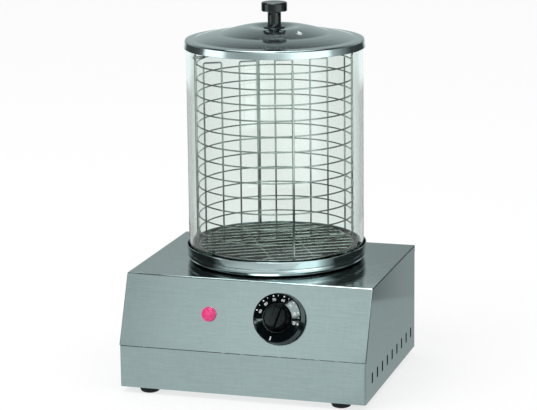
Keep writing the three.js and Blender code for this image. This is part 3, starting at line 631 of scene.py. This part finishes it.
skirt = rounded([(26.8, dial_lift), (base_r, dial_lift), (base_r, 2.2), (face_r, 12.1),
                 (face_r - 0.9, dial_h - 0.2), (grip_r + 1.2, 11.9), (0, 11.9), (0, 10.6), (24.2, 10.6)],
                [0.2, 0.4, 1, 0.6, 0.5, 0.6, 0, 0, 1], closed=True)
boss = rounded([(0, 10.9), (grip_r * 1.04, 10.9), (grip_r, 13.9), (grip_r * 0.91, 18.9),
                (grip_r * 0.8, 20.6), (0, 20.8)], [0, 0, 1, 1.6, 1.6, 0], steps=5)
socket = [(0, 4.7), (5, 4.7), (5, 11), (0, 11)]


def swing(grid, angle):
    """A grid of points turned about the vertical axis."""
    c, s = math.cos(angle), math.sin(angle)
    x, y, z = np.moveaxis(grid, -1, 0)
    return np.stack([x * c - y * s, x * s + y * c, z], -1)


def grip_bar(length, low, high):
    """The grip: each cross-section of a bar is a rounded trapezium, drawn in and lowered by the root
    of 1 - u^9, where u is the distance from the middle as a share of half the length."""
    u = np.linspace(-1, 1, 41)[:, None]
    trapezium = [(-1, 0), (1, 0), (0.74, 1), (-0.74, 1)]
    section = rounded(trapezium, [0.02, 0.02, 0.2, 0.2], closed=True, steps=5)
    ends = np.sqrt(np.clip(1 - np.abs(u) ** 9, 0, 1))
    x = section[None, :, 0] * bar_w / 2 * (0.35 + 0.65 * ends)
    z = low + section[None, :, 1] * (high - low) * (0.72 + 0.28 * ends)
    y = u * length / 2 + 0 * x
    grid = np.stack([x, y, z], -1)
    tips = grid[[0, -1]].mean(1, keepdims=True).repeat(grid.shape[1], 1)
    grid = np.concatenate([tips[:1], grid, tips[1:]])
    return swing(grid, math.radians(pointer)), False, True


bar = grip_bar(grip_r * 1.9, 11.2, dial_h + grip_h)
dial = skin("dial_knob", *[placed_control(p) for p in (
    lathe(skirt, 160, True), lathe(boss, 128), lathe(socket, 32), bar)])
tree = dial_black.node_tree
shader = tree.nodes["Principled BSDF"]
gloss = shader.inputs["Roughness"].links[0].from_socket
shaft = np.array([[[0, 0, 0], [0, 0, 1.0]]])
middle, tip = placed_control((shaft, False, False))[0][0]
off_boss = spread(tree, away_from(tree, stand(middle), tip - middle), 0.0160, 0.0166)
drive(tree, shader, Roughness=between(tree, "FLOAT", off_boss, 0.32, gloss))
wear(dial, dial_black)
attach(dial, "dial")
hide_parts("dial")

# The dial's printing. White ink a few hundredths of a millimetre thick on the face ring: seven
# dots with their numbers, short ticks between them and one longer tick for off.
ink = flecked("white_print", (0.86, 0.88, 0.88), 2500, 2, (0.3, 0.6, 0.85, 1.0),
              Roughness=0.5)
first_mark, mark_step, mark_r, figure_r, figure_h, ink_t = -73.2, 29.27, 24.4, 20.0, 4.2, 0.05
ring_inner_r, ring_inner_h = grip_r + 1.2, 11.9
ring_rise = (dial_h - 0.2 - ring_inner_h) / (face_r - 0.9 - ring_inner_r)
dial_words = ("90", "80", "70", "60", "50", "40", "30")


def face_height(radius):
    """Height of the face ring at a radius, along its shallow cone."""
    return ring_inner_h + ring_rise * (radius - ring_inner_r)


def printed(outline):
    """A closed outline on the face ring, given the ink's thickness and lying on the ring's cone."""
    low = np.asarray(outline, float)
    z = face_height(np.hypot(low[:, 0], low[:, 1]))
    mid = low.mean(0, keepdims=True).repeat(len(low), 0)
    zm = z.mean().repeat(len(low))
    ring = [(mid, zm + ink_t), (low, z + ink_t), (low, z - ink_t), (mid, zm - ink_t)]
    return np.stack([np.column_stack([p, h]) for p, h in ring]), False, True


def bar_at(angle, radius, length, width):
    """A short bar pointing outward, angle in degrees clockwise from the top."""
    a = math.radians(angle)
    out = np.array([math.sin(a), math.cos(a)])
    flat = np.array([math.cos(a), -math.sin(a)])
    ends = ((-1, -1), (1, -1), (1, 1), (-1, 1))
    return np.array([out * (radius + i * length / 2) + flat * j * width / 2 for i, j in ends])


def dot_at(angle, radius, size):
    """A round dot, angle in degrees clockwise from the top."""
    a = math.radians(angle)
    return circle(size, 20, radius * math.sin(a), radius * math.cos(a))


marks = [printed(dot_at(first_mark + mark_step * k, mark_r, 0.85)) for k in range(len(dial_words))]
marks += [printed(bar_at(a, mark_r, 1.7, 0.5)) for a in (-59, -31, -2, 28, 58, 87)]
marks += [printed(bar_at(193, 23.3, 4.2, 1.1))]
dial_marks = skin("dial_marks", *[placed_control(mark) for mark in marks])
wear(dial_marks, ink)
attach(dial_marks, "dial")

bm = bmesh.new()
for k, word in enumerate(dial_words):
    text = bpy.data.curves.new("figure", "FONT")
    text.body, text.size, text.extrude, text.offset = word, figure_h, ink_t, 0.02
    text.align_x, text.align_y, text.resolution_u = "CENTER", "CENTER", 3
    carrier = put("figure", text)
    bpy.context.view_layer.update()
    flat = bpy.data.meshes.new_from_object(carrier.evaluated_get(bpy.context.evaluated_depsgraph_get()))
    bpy.data.objects.remove(carrier)
    points = np.zeros(len(flat.vertices) * 3, np.float32)
    flat.vertices.foreach_get("co", points)
    points = points.reshape(-1, 3).astype(float) + (0, figure_r, 0)
    points = swing(points, -math.radians(first_mark + mark_step * k))
    points[:, 2] += face_height(np.hypot(points[:, 0], points[:, 1]))
    flat.vertices.foreach_set("co", stand(placed_control((points[None], False, False))[0][0]).ravel())
    bm.from_mesh(flat)
    bpy.data.meshes.remove(flat)
bmesh.ops.remove_doubles(bm, verts=bm.verts, dist=1e-7)
figure_mesh = bpy.data.meshes.new("dial_figures")
bm.to_mesh(figure_mesh)
bm.free()
dial_figures = put("dial_figures", figure_mesh)
wear(dial_figures, ink)
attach(dial_figures, "dial")

# Pilot lamp. A magenta moulded lens with a flat rim and a low dome, on a stem that goes through
# the panel. Fine rings inside the dome scatter the light.
magenta, tree, shader = finish("magenta_lens", Roughness=0.12, IOR=1.49, Coat_Weight=0.5,
                               Coat_Roughness=0.05)
lamp_middle = stand(placed_control((shaft, False, False), -1)[0][0, 0])
from_middle = vector_math(tree, "DISTANCE", place_of(tree)[0], lamp_middle)["Value"]
ripple = mathed(tree, "SINE", times(tree, from_middle, 7000))
bright = times(tree, plus(tree, ripple, 1.0), noise_at(tree, 400, 2))
drive(tree, shader, Base_Color=between(tree, "RGBA", bright, (0.72, 0.028, 0.16), (0.80, 0.05, 0.24)),
      Normal=embossed(tree, ripple, 0.08, 0.0002))

lamp_profile = rounded([(0, -21), (5.1, -21), (5.1, 0.3), (8.2, 0.3), (8.2, 1.7), (7.4, 2.3), (6.7, 1.9),
                        (5.4, 3.4), (3.0, 4.4), (0, 4.8)], [0, 0.5, 0.1, 0.2, 0.5, 0.4, 0.3, 2, 4, 0])
lamp = skin("pilot_lens", placed_control(lathe(lamp_profile, 96), -1))
wear(lamp, magenta)
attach(lamp, "base")
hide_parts("lamp_lens")

# Cable gland. A moulded black nylon inlet screwed through the rear panel. Its dome nut is ribbed
# for the fingers, and it is open down the middle for the flex.
satin_black = flecked("satin_black_nylon", (0.016, 0.017, 0.018), 1200, 3,
                      (0.3, 0.7, 0.8, 1.25), (0.3, 0.7, 0.34, 0.48), (0.1, 0.0003), IOR=1.5)
rib_count, rib_depth = 24, 0.035
gland_profile = rounded([(3.6, -12), (6, -12), (6, 0.3), (10.5, 0.3), (10.5, 5), (8.2, 8), (8.2, 15),
                         (6.6, 17), (3.6, 17)], [0.2, 0.3, 0, 0.4, 0.6, 0.8, 1, 1, 0.4], closed=True)
gland_grid, _, _ = lathe(gland_profile, 144, True)
x, y, z = np.moveaxis(gland_grid, -1, 0)
around = np.arctan2(y, x)
outer = np.clip((np.hypot(x, y) - 6.2) / 2, 0, 1) * (z > 5.5)
gland_grid[..., :2] *= (1 - rib_depth * outer * (0.5 + 0.5 * np.cos(rib_count * around)))[..., None]
gland = skin("inlet_gland", tipped((gland_grid, True, True), (inlet_x, rear_y, inlet_z), "+y"))
wear(gland, satin_black)
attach(gland, "base")
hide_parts("cable_gland")

# Working pieces inside the casing. They keep their solids: clamp ring, heater and its plate,
# thermostat, cut-out, terminal block, bulb, nuts and the screw of the lid.
heater_steel = marked_metal("oxidised_heater_steel", (0.24, 0.22, 0.20), brushed,
                            Streaks=0.3, Clouds=0.4, Depth=0.05, Base_Roughness=0.42)
off_white = flecked("off_white_ceramic", (0.76, 0.75, 0.70), 70, 3, (0.3, 0.8, 1.0, 0.86),
                    (0.3, 0.7, 0.42, 0.58), IOR=1.5)
brass = flecked("drawn_brass", (0.66, 0.46, 0.18), (300, 30, 300), 3, (0.3, 0.7, 0.85, 1.05),
                (0.3, 0.7, 0.24, 0.36), Metallic=1.0)
inside = {"pan_clamp": plain_steel, "heating_element": heater_steel, "heater_plate": heater_steel,
          "thermostat_body": off_white, "safety_cutout": off_white, "terminal_block": off_white,
          "lamp_nut": off_white, "thermostat_shaft": brass, "thermostat_bulb": brass,
          "gland_nut": satin_black, "lid_screw": zinc}
for name, material in inside.items():
    wear(nodes[name], material)

# Glass cylinder. A clear tube 3 mm thick, faintly green through its length, its ends ground and
# a little rounded. It stands on the seat of the pan.


def mixed(tree, factor, first, second):
    """Two shaders mixed by a factor."""
    return node(tree, "ShaderNodeMixShader", {0: factor, 1: first, 2: second}).outputs[0]


clear_glass, tree, shader = finish("clear_glass", Roughness=0.0, IOR=1.46, Transmission_Weight=1.0)
wipe = spread(tree, noise_at(tree, (18, 18, 5), 4), 0.3, 0.8, 1.0, 0.97)
drive(tree, shader, Base_Color=shade(tree, (0.91, 0.955, 0.935), wipe))
clear = node(tree, "ShaderNodeBsdfTransparent", Color=(0.93, 0.96, 0.94))
path = tree.nodes.new("ShaderNodeLightPath").outputs
plain = mathed(tree, "MAXIMUM", path["Is Shadow Ray"], path["Is Diffuse Ray"])
seen_as = mixed(tree, plain, shader.outputs[0], clear.outputs[0])
tree.links.new(seen_as, tree.nodes["Material Output"].inputs["Surface"])

glass_z, glass_top, glass_r, glass_wall = 5.3, 252.1, 100, 3
glass_profile = rounded([(glass_r - glass_wall, glass_z), (glass_r, glass_z), (glass_r, glass_top),
                         (glass_r - glass_wall, glass_top)], [0.4, 0.4, 0.7, 0.7], closed=True)
cylinder = skin("glass_tube", lathe(glass_profile, 256, True))
wear(cylinder, clear_glass)
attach(cylinder, "glass")
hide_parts("glass_cylinder")

# Basket hoops. Thirteen rings of polished stainless wire, 1.7 mm thick, stacked at even steps
# and butt welded.
ring_r, ring_low, ring_top, ring_count, wire_r = 88.0, 17.4, 226.7, 13, 0.85
ring_step = (ring_top - ring_low) / (ring_count - 1)
basket_turn = math.radians(28.9)


def wire_along(path, radius, normal, closed=False, sides=12):
    """A round wire: at each point of the path a circle is drawn through the given normal and the
    direction square to it and to the path. An open wire's ends are rounded off and closed."""
    path = np.asarray(path, float)
    share = np.ones(len(path))
    if not closed:
        first, last = path[1] - path[0], path[-1] - path[-2]
        first, last = first / np.linalg.norm(first), last / np.linalg.norm(last)
        steps = np.array([0.0, 0.1, 0.35])[:, None] * radius
        path = np.vstack([path[:1] + first * steps, path[1:-1], path[-1:] - last * steps[::-1]])
        share = np.ones(len(path))
        share[:3], share[-3:] = (0, 0.7, 1), (1, 0.7, 0)
        run = np.gradient(path, axis=0)
    else:
        run = np.roll(path, -1, 0) - np.roll(path, 1, 0)
    run = run / np.linalg.norm(run, axis=1, keepdims=True)
    side = np.cross(run, np.asarray(normal, float))
    side /= np.linalg.norm(side, axis=1, keepdims=True)
    up = np.cross(side, run)
    t = np.linspace(0, 2 * math.pi, sides, endpoint=False)[None, :, None]
    spoke = np.cos(t) * side[:, None] + np.sin(t) * up[:, None]
    return path[:, None] + radius * share[:, None, None] * spoke, closed, True


def hoop(z):
    """A closed ring of the basket's wire about the glass axis."""
    ring = circle(ring_r, 180)
    return wire_along(np.column_stack([ring, np.full(len(ring), z)]), wire_r, upward, True)


def weld_bead(at, out, radius, flat):
    """A blob of weld: rings of a ball pressed flat along the direction out."""
    a = np.linspace(0, math.pi, 7)[:, None, None]
    t = np.linspace(0, 2 * math.pi, 10, endpoint=False)[None, :, None]
    side = np.cross(out, upward)
    spoke = np.cos(t) * side + np.sin(t) * np.cross(side, out)
    return np.asarray(at, float) + radius * flat * np.cos(a) * out + radius * np.sin(a) * spoke, False, True


basket_wire, tree, shader = finish("basket_wire_steel", Metallic=1.0)
drawn = noise_at(tree, 500)
tint = between(tree, "RGBA", noise_at(tree, (45, 45, 30)), (0.40, 0.42, 0.38), (0.52, 0.55, 0.51))
drive(tree, shader, Base_Color=shade(tree, tint, spread(tree, drawn, 0.3, 0.7, 0.9, 1.06)),
      Roughness=spread(tree, drawn, 0.3, 0.7, 0.05, 0.11))

hoops = skin("basket_hoops", *[hoop(ring_top - i * ring_step) for i in range(ring_count)])
wear(hoops, basket_wire)
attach(hoops, "basket")
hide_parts(*[f"basket_ring_{i}" for i in range(1, ring_count + 1)])

# Basket uprights. Four heavier wires outside the hoops, welded to each of them; their lower ends
# are the basket's feet. Two end in an eye bent from the wire, which holds the bail.
post_wire = 1.35
post_r = ring_r + wire_r + seat_gap + post_wire
foot_z, eye_z, eye_r = 1.6, ring_top + 8.1, 3.1
eye_wire = post_wire * 0.8


def at_post(k, points):
    """Points given with X pointing out through the first upright, turned to upright k."""
    return swing(np.asarray(points, float), basket_turn + k * math.pi / 2)


for k in range(4):
    eyed = k % 2 == 0
    out, flat = at_post(k, [[1, 0, 0], [0, 1, 0]])
    top = eye_z - eye_r if eyed else ring_top + 3
    heights = np.array([foot_z, foot_z + 1, *np.linspace(foot_z + 10, top - 4, 12), top - 0.5, top])
    line = np.stack([post_r + 0 * heights, 0 * heights, heights], -1)
    patches = [wire_along(at_post(k, line), post_wire, flat)]
    if eyed:
        t = np.linspace(0, 2 * math.pi, 40, endpoint=False)
        eye_ring = np.stack([post_r + 0 * t, eye_r * np.sin(t), eye_z + eye_r * np.cos(t)], -1)
        patches.append(wire_along(at_post(k, eye_ring), eye_wire, out, True))
        patches.append(weld_bead(at_post(k, [[post_r, 0, eye_z - eye_r]])[0], out, 1.9, 0.6))
    for i in range(ring_count):
        at = at_post(k, [[ring_r + wire_r * 0.75, 0, ring_top - i * ring_step]])[0]
        patches.append(weld_bead(at, out, 1.15, 0.85))
    post = skin(f"basket_upright_{k + 1}", *patches)
    wear(post, basket_wire)
    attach(post, "basket")
    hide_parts(f"basket_post_{k + 1}")

# Basket floor. Thirteen parallel wires lying on the lowest hoop, each with its ends welded to it,
# and two tie wires across them below.
floor_z = ring_low + wire_r + seat_gap + wire_r
floor_half, floor_side = ring_r - 6.6, 6
floor_step = floor_half / floor_side
patches = []


def floor_wire(points, z):
    """A straight wire of the floor through points in plan at a height, turned with the basket."""
    lying = np.column_stack([points, np.full(len(points), z)])
    return wire_along(swing(lying, basket_turn), wire_r, upward, sides=10)


for i in range(-floor_side, floor_side + 1):
    half = math.sqrt(ring_r ** 2 - (i * floor_step) ** 2)
    x = np.array([-half, -half + 1, *np.linspace(-half + 4, half - 4, 9), half - 1, half])
    patches.append(floor_wire(np.stack([x, 0 * x + i * floor_step], -1), floor_z))
for tie in (-24, 24):
    y = np.array([-floor_half - 0.85, -floor_half, *np.linspace(-70, 70, 9), floor_half, floor_half + 0.85])
    patches.append(floor_wire(np.stack([0 * y + tie, y], -1), floor_z - wire_r))
basket_floor = skin("basket_floor_wires", *patches)
wear(basket_floor, basket_wire)
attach(basket_floor, "basket")
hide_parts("basket_floor")

# Partition. One wire bent up and down across the middle of the basket, with rounded bends; it
# keeps the front row from the back row.
grid_wire, grid_half, grid_bend, grid_wires = 1.0, floor_half, 2.2, 9
grid_step = 2 * grid_half / (grid_wires - 1)
grid_low = ring_low + wire_r * 3 + seat_gap * 2 + grid_wire
grid_top = ring_top + 2.6 - grid_wire
corners = []
for i in range(grid_wires):
    ends = (grid_low, grid_top) if i % 2 == 0 else (grid_top, grid_low)
    corners += [(i * grid_step - grid_half, z) for z in ends]
bent = rounded(corners, [grid_bend] * len(corners), steps=6)
bent = np.stack([bent[:, 0], 0 * bent[:, 0], bent[:, 1]], -1)
partition = skin("basket_divider", wire_along(swing(bent, basket_turn), grid_wire,
                                              (-math.sin(basket_turn), math.cos(basket_turn), 0)))
wear(partition, basket_wire)
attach(partition, "basket")
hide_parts("basket_partition")

# Bail. The basket's handle, a half hoop of wire folded down to the back. Its ends are turned out
# through the two eyes, in which it swings.
bail_r, bail_wire = ring_r - 9.4, 1.6
reach = post_r + post_wire + 1.4
t = np.linspace(0, math.pi, 61)
arc = bail_r * np.stack([np.cos(t), np.sin(t)], -1)
arm = np.array([(reach, 0), (reach - 1.5, 0), (bail_r + 3, 0)])
plan = np.vstack([arm, arc[2:-2], arm[::-1] * (-1, 1)])
folded_down = swing(np.column_stack([plan, np.full(len(plan), eye_z)]), basket_turn)
bail = skin("basket_bail_wire", wire_along(folded_down, bail_wire, upward))
wear(bail, basket_wire)
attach(bail, "bail")
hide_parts("basket_bail")

# Lid. Pressed and polished sheet: a band turned down over the glass, a flat rim, a rounded slope,
# a raised crown and a dish in its middle for the knob. The crown has a punched steam hole.
lid_steel = marked_metal("polished_lid_steel", (0.61, 0.665, 0.67), polished,
                         Hairlines=0.05, Smears=0.06, Base_Roughness=0.10)
lid_wall, dish_z, steam_r, steam_from_axis, steam_turn = 0.9, 9.9, 3.4, 48.5, -0.683
lid_z = glass_top + seat_gap + lid_wall
lid_over = [(102.8, -9.2), (101.5, -1.6), (100.6, -0.25), (99, 0.1)]
lid_up = [(91, 0.7), (85, 2.55), (78, 4.3), (70, 5.75), (62, 6.7), (56, 8.7), (49, 10.7), (42, 12.4),
          (36, 13.6), (31, 14.1), (26, 13.85), (20, 12.1), (13.8, dish_z), (2.8, 9.7)]
lid_soft = [1.2, 60, 60, 60, 1.6, 60, 60, 60, 60, 60, 60, 14, 3, 0.2]
lid_back = [(99, -0.85), (100.3, -1.1), (100.9, -2.2), (101.75, -9.2)]
lid_under = [(r, z - lid_wall) for r, z in lid_up[::-1]] + lid_back
lid_radii = [0.35, 1, 1, 3, *lid_soft, *lid_soft[::-1], 3, 0.6, 0.6, 0.35]
lid_profile = rounded(np.array(lid_over + lid_up + lid_under) + (0, lid_z), lid_radii, closed=True, steps=5)
lid = skin("pressed_lid", lathe(lid_profile, 256, True))
steam = prism(circle(steam_r, 40, steam_from_axis), lid_z - 5, lid_z + 25, "xyz")[0]
punch(lid, (swing(steam, steam_turn), False, True))
smooth(lid)
wear(lid, lid_steel)
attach(lid, "lid")
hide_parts("lid")

# Lid knob. Turned black plastic with a flat head, a straight neck and a flange that sits in the
# dish, held from below by a screw.
seat = lid_z + dish_z + seat_gap
knob_h, head_h = 30.9, 10.6
end = seat + knob_h
neck_top = end - head_h
gloss_black = black_plastic("gloss_black_plastic", (0.0055, 0.0065, 0.008), 0.07, 0.13)
knob_profile = rounded([
    (0, end - 0.5), (9, end - 0.1), (13.2, end), (14.6, end - 1.2), (14.6, neck_top + 0.8), (13.4, neck_top),
    (7.9, neck_top - 0.4), (7.6, neck_top - 4), (7.6, seat + 6), (8.6, seat + 3.6), (11.6, seat + 3.2),
    (12.2, seat + 2.2), (11.4, seat), (2.5, seat), (2.5, seat + 14), (0, seat + 14),
], [0, 6, 1.2, 1.2, 0.8, 0.8, 0.8, 4, 4, 1.6, 0.8, 0.8, 0.6, 0.2, 0.2, 0])
knob = skin("turned_knob", lathe(knob_profile, 128))
wear(knob, gloss_black)
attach(knob, "lid")
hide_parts("lid_knob")

# Studio. A pale floor in even white light, and round the warmer a tent of cards that only gloss
# sees: a grey card on the ground, black flags, soft boxes right and left and a bright roof.


def straight_rays(tree):
    """Two masks, and the light path's outputs: one for rays straight from the camera or through clear
    glass, the other for those through glass alone. A mirror counts ten and a pane's face one,
    and the sum stays under 12.5."""
    path = tree.nodes.new("ShaderNodeLightPath").outputs
    turns = plus(tree, times(tree, path["Glossy Depth"], 10.0), path["Transmission Depth"])
    by_glass = times(tree, path["Is Transmission Ray"], mathed(tree, "LESS_THAN", turns, 12.5))
    return mathed(tree, "MAXIMUM", path["Is Camera Ray"], by_glass), by_glass, path


def stage_piece(name, verts, faces, material):
    """A piece of the studio, from its points in metres and its faces."""
    mesh = bpy.data.meshes.new(name)
    mesh.from_pydata(verts, [], faces)
    piece = put(name, mesh)
    wear(piece, material)
    return piece


def hide_from(piece, *rays):
    """A piece or lamp that rays of these kinds pass by."""
    for ray in rays:
        setattr(piece, "visible_" + ray, False)


pale = flecked("pale_floor", (0.95, 0.95, 0.95), 8, 2, (0.3, 0.7, 0.995, 1.0), Roughness=0.9,
               Specular_IOR_Level=0.1)
tree = pale.node_tree
seen, _, _ = straight_rays(tree)
backlight = node(tree, "ShaderNodeEmission", Strength=1.0)
own = tree.nodes["Principled BSDF"]
lit = mixed(tree, times(tree, seen, 0.72), own.outputs[0], backlight.outputs[0])
tree.links.new(lit, tree.nodes["Material Output"].inputs["Surface"])
floor_r = 6
floor_corners = [(sx * floor_r, sy * floor_r, 0) for sx, sy in ((-1, -1), (1, -1), (1, 1), (-1, 1))]
stage_piece("studio_floor", floor_corners, [(0, 1, 2, 3)], pale)


def bare_material(name):
    """A material with nothing in its tree but its output, with the tree and the output's socket."""
    material, tree, _ = finish(name)
    tree.nodes.clear()
    return material, tree, tree.nodes.new("ShaderNodeOutputMaterial").inputs["Surface"]


tent_r, tent_h, tent_hole, camera_side = 0.38, 0.95, 0.02, 16.7
glow, tree, surface = bare_material("card_glow")
x, y, z = place_of(tree)[1]
degrees = times(tree, mathed(tree, "ARCTAN2", x, mathed(tree, "SUBTRACT", axis_y, y)), 180 / math.pi)
turned = mathed(tree, "SUBTRACT", degrees, camera_side)
from_camera = node(tree, "ShaderNodeMath", {0: turned, 1: 180.0, 2: -180.0}, operation="WRAP").outputs[0]


def card_ring(stops):
    """Brightness round the tent: (degrees from the camera, value) stops joined by straight lines."""
    curve = tree.nodes.new("ShaderNodeFloatCurve")
    line = curve.mapping.curves[0]
    peak = max(v for _, v in stops)
    points = [((a + 180) / 360, v / peak) for a, v in stops]
    line.points[0].location, line.points[1].location = points[0], points[-1]
    for p in points[1:-1]:
        line.points.new(*p)
    for p in line.points:
        p.handle_type = "VECTOR"
    curve.mapping.update()
    tree.links.new(spread(tree, from_camera, -180, 180), curve.inputs["Value"])
    return times(tree, curve.outputs[0], peak)


ground = [(-180, 0.6), (-60, 0.7), (-30, 0.76), (10, 0.76), (40, 0.46), (150, 0.42), (180, 0.6)]
low = [(-180, 0.2), (-160, 0.14), (-130, 0.01), (-80, 0.015), (-67, 0.33), (-56, 0.376), (-45, 0.51),
       (-34, 0.60), (-24, 0.54), (-14, 0.53), (-4, 0.67), (6, 0.92), (16, 1.15), (26, 1.35), (37, 1.44),
       (47, 1.13), (59, 0.2), (70, 0.03), (97, 0.01), (115, 0.02), (130, 0.38), (150, 0.42), (180, 0.3)]
flag = [(-180, 0.5), (-150, 0.4), (-130, 0.05), (-60, 0.02), (0, 0.01), (60, 0.02), (130, 0.05),
        (150, 0.35), (180, 0.5)]
dark_left = [(-180, 0.46), (-150, 0.46), (-125, 0.03), (-80, 0.02)]
grey_left = [(-68, 0.3), (-60, 0.56), (-49, 0.66), (-43, 0.76), (-36, 0.82), (-30, 0.86), (-24, 0.86),
             (-14, 0.84), (-6, 0.82)]
soft_box = [(6, 1.0), (16, 1.5), (26, 2.6), (46, 2.6), (54, 1.2), (62, 0.6), (72, 0.04)]
dim_back = [(130, 0.04), (146, 0.36), (160, 0.38), (180, 0.46)]
step = [*dark_left, *grey_left, (-1, 0.05), *dim_back]
mid = [*dark_left, *grey_left, *soft_box, *dim_back]
upper = [(-180, 1.1), (-130, 1.1), (-118, 0.03), (-80, 0.02), *grey_left, *soft_box, (118, 0.04),
         (130, 1.1), (180, 1.1)]
two_boxes = [(-98, 0.09), (-90, 0.2), (-84, 1.8), (-62, 1.8), (-54, 0.62), (-44, 0.50), (-30, 0.46),
             (-14, 0.5), (-6, 0.7), (6, 0.75), (16, 1.3), (24, 1.8), (60, 1.8), (68, 0.6), (82, 0.3)]
high = [(-180, 0.9), (-146, 0.9), (-132, 0.10), (-112, 0.06), *two_boxes, (98, 0.05), (112, 0.05),
        (132, 0.06), (146, 0.9), (180, 0.9)]
crest = [(-180, 0.50), (-150, 0.50), (-134, 0.20), (-112, 0.10), *two_boxes, (98, 0.07), (112, 0.10),
         (134, 0.20), (150, 0.50), (180, 0.50)]
over = [(-180, 0.47), (-130, 0.47), (-80, 0.1), (-50, 0.12), (-34, 0.4), (-17, 1.6), (7, 2.3), (24, 1.5),
        (34, 1.0), (50, 0.2), (73, 0.05), (130, 0.47), (180, 0.47)]
aloft = [(-180, 0.24), (-130, 0.24), (-80, 0.02), (-50, 0.08), (-34, 0.3), (-17, 1.5), (7, 2.2), (24, 1.4),
         (34, 0.9), (50, 0.15), (73, 0.02), (130, 0.24), (180, 0.24)]
under_roof = [(-180, 0.12), (180, 0.12)]
roof = [(-180, 9.0), (-70, 1.0), (-52, 9.0), (-4, 9.0), (6, 1.0), (130, 1.0), (145, 9.0), (180, 9.0)]
around_tent = card_ring(ground)
for stops, fade_from, fade_to in (
        (low, 0.0012, 0.003), (flag, 0.092, 0.10), (step, 0.128, 0.14), (mid, 0.168, 0.178),
        (upper, 0.265, 0.285), (high, 0.33, 0.345), (crest, 0.375, 0.395), (over, 0.436, 0.452),
        (aloft, 0.48, 0.67), (under_roof, 0.68, 0.80), (roof, tent_h - 0.0008, tent_h - 0.0002)):
    rise = spread(tree, z, fade_from, fade_to)
    around_tent = between(tree, "FLOAT", rise, around_tent, card_ring(stops))
lamp_glow = node(tree, "ShaderNodeEmission", Color=(0.86, 1.0, 0.995), Strength=around_tent)
unseen = tree.nodes.new("ShaderNodeBsdfTransparent")
_, by_glass, _ = straight_rays(tree)
tree.links.new(mixed(tree, by_glass, lamp_glow.outputs[0], unseen.outputs[0]), surface)

turns, rows = 96, 32
t = np.linspace(0, 2 * math.pi, turns + 1)[:, None]
inward = np.linspace(tent_r, tent_hole, 6)
r = np.concatenate([np.linspace(tent_hole, tent_r, 6), np.full(20, tent_r), inward])
z = np.concatenate([np.full(6, 0.001), np.linspace(0.002, tent_h - 0.001, 20), np.full(6, tent_h)])
tent_grid = np.stack([r * np.sin(t), axis_y - r * np.cos(t), z + 0 * t], -1)
i, j = np.meshgrid(np.arange(turns), np.arange(rows - 1), indexing="ij")
quads = np.stack([i * rows + j, i * rows + j + 1, (i + 1) * rows + j + 1, (i + 1) * rows + j], -1)
cards = stage_piece("studio_cards", tent_grid.reshape(-1, 3).tolist(), quads.reshape(-1, 4).tolist(), glow)

# Dial's card. A slim bright card that only the dial reflects, as the edge of a window would show in
# its gloss. The other cards in turn leave the dial out.
strip, tree, surface = bare_material("dial_card_glow")
strip_glow = node(tree, "ShaderNodeEmission", Color=(0.82, 1.0, 1.0), Strength=9.0)
clear = tree.nodes.new("ShaderNodeBsdfTransparent")
both = node(tree, "ShaderNodeAddShader", {0: strip_glow.outputs[0], 1: clear.outputs[0]})
tree.links.new(both.outputs[0], surface)
a = np.radians(np.array([-30.0, -27.0, -23.9, -30.0, -22.0, -15.0]) + camera_side)
r = tent_r - 0.002
lows, tops = np.array([0.190] * 3 + [0.2272] * 3), np.array([0.2215] * 3 + [0.2288] * 3)
card_verts = np.vstack([np.stack([r * np.sin(a), axis_y - r * np.cos(a), h], -1) for h in (lows, tops)])
card_faces = [(k, k + 1, k + 7, k + 6) for k in (0, 1, 3, 4)]
dial_card = stage_piece("dial_card", card_verts.tolist(), card_faces, strip)
only_dial = bpy.data.collections.new("dial_card_lights_only")
all_but_dial = bpy.data.collections.new("cards_light_all_but")
for lit_by, collection in ((dial_card, only_dial), (cards, all_but_dial)):
    collection.objects.link(dial)
    lit_by.light_linking.receiver_collection = collection
    hide_from(lit_by, "camera", "diffuse", "shadow", "volume_scatter")
all_but_dial.collection_objects[0].light_linking.link_state = "EXCLUDE"
hide_from(dial_card, "transmission")

# Light. A white sky that is a little dimmer where it lights the warmer and dark where gloss would
# see it, and one large soft lamp from the left that leaves a faint shadow.
world = bpy.data.worlds.new("studio_world")
bpy.context.scene.world = world
world.use_nodes = True
tree = world.node_tree
tree.nodes.clear()
seen, _, path = straight_rays(tree)
white_sky, soft_sky, gloss_sky = [node(tree, "ShaderNodeBackground", Color=(1, 1, 1, 1), Strength=v)
                                  for v in (1.0, 0.92, 0.3)]
lit = mixed(tree, path["Is Glossy Ray"], soft_sky.outputs[0], gloss_sky.outputs[0])
out = tree.nodes.new("ShaderNodeOutputWorld")
tree.links.new(mixed(tree, seen, lit, white_sky.outputs[0]), out.inputs["Surface"])

key_data = bpy.data.lights.new("key_light", "AREA")
key_data.shape, key_data.size, key_data.energy = "SQUARE", 1.6, 22
key = put("key_light", key_data)
hide_from(key, "glossy", "camera", "transmission")
place = np.array([-0.9, -1.1, 2.4])
aim = np.array([0, 0, 0.15]) - place
aim /= np.linalg.norm(aim)
side = np.cross(aim, upward)
side /= np.linalg.norm(side)
key.matrix_world = facing(side, np.cross(side, aim), aim, place)

bpy.context.scene.view_settings.view_transform = "Standard"
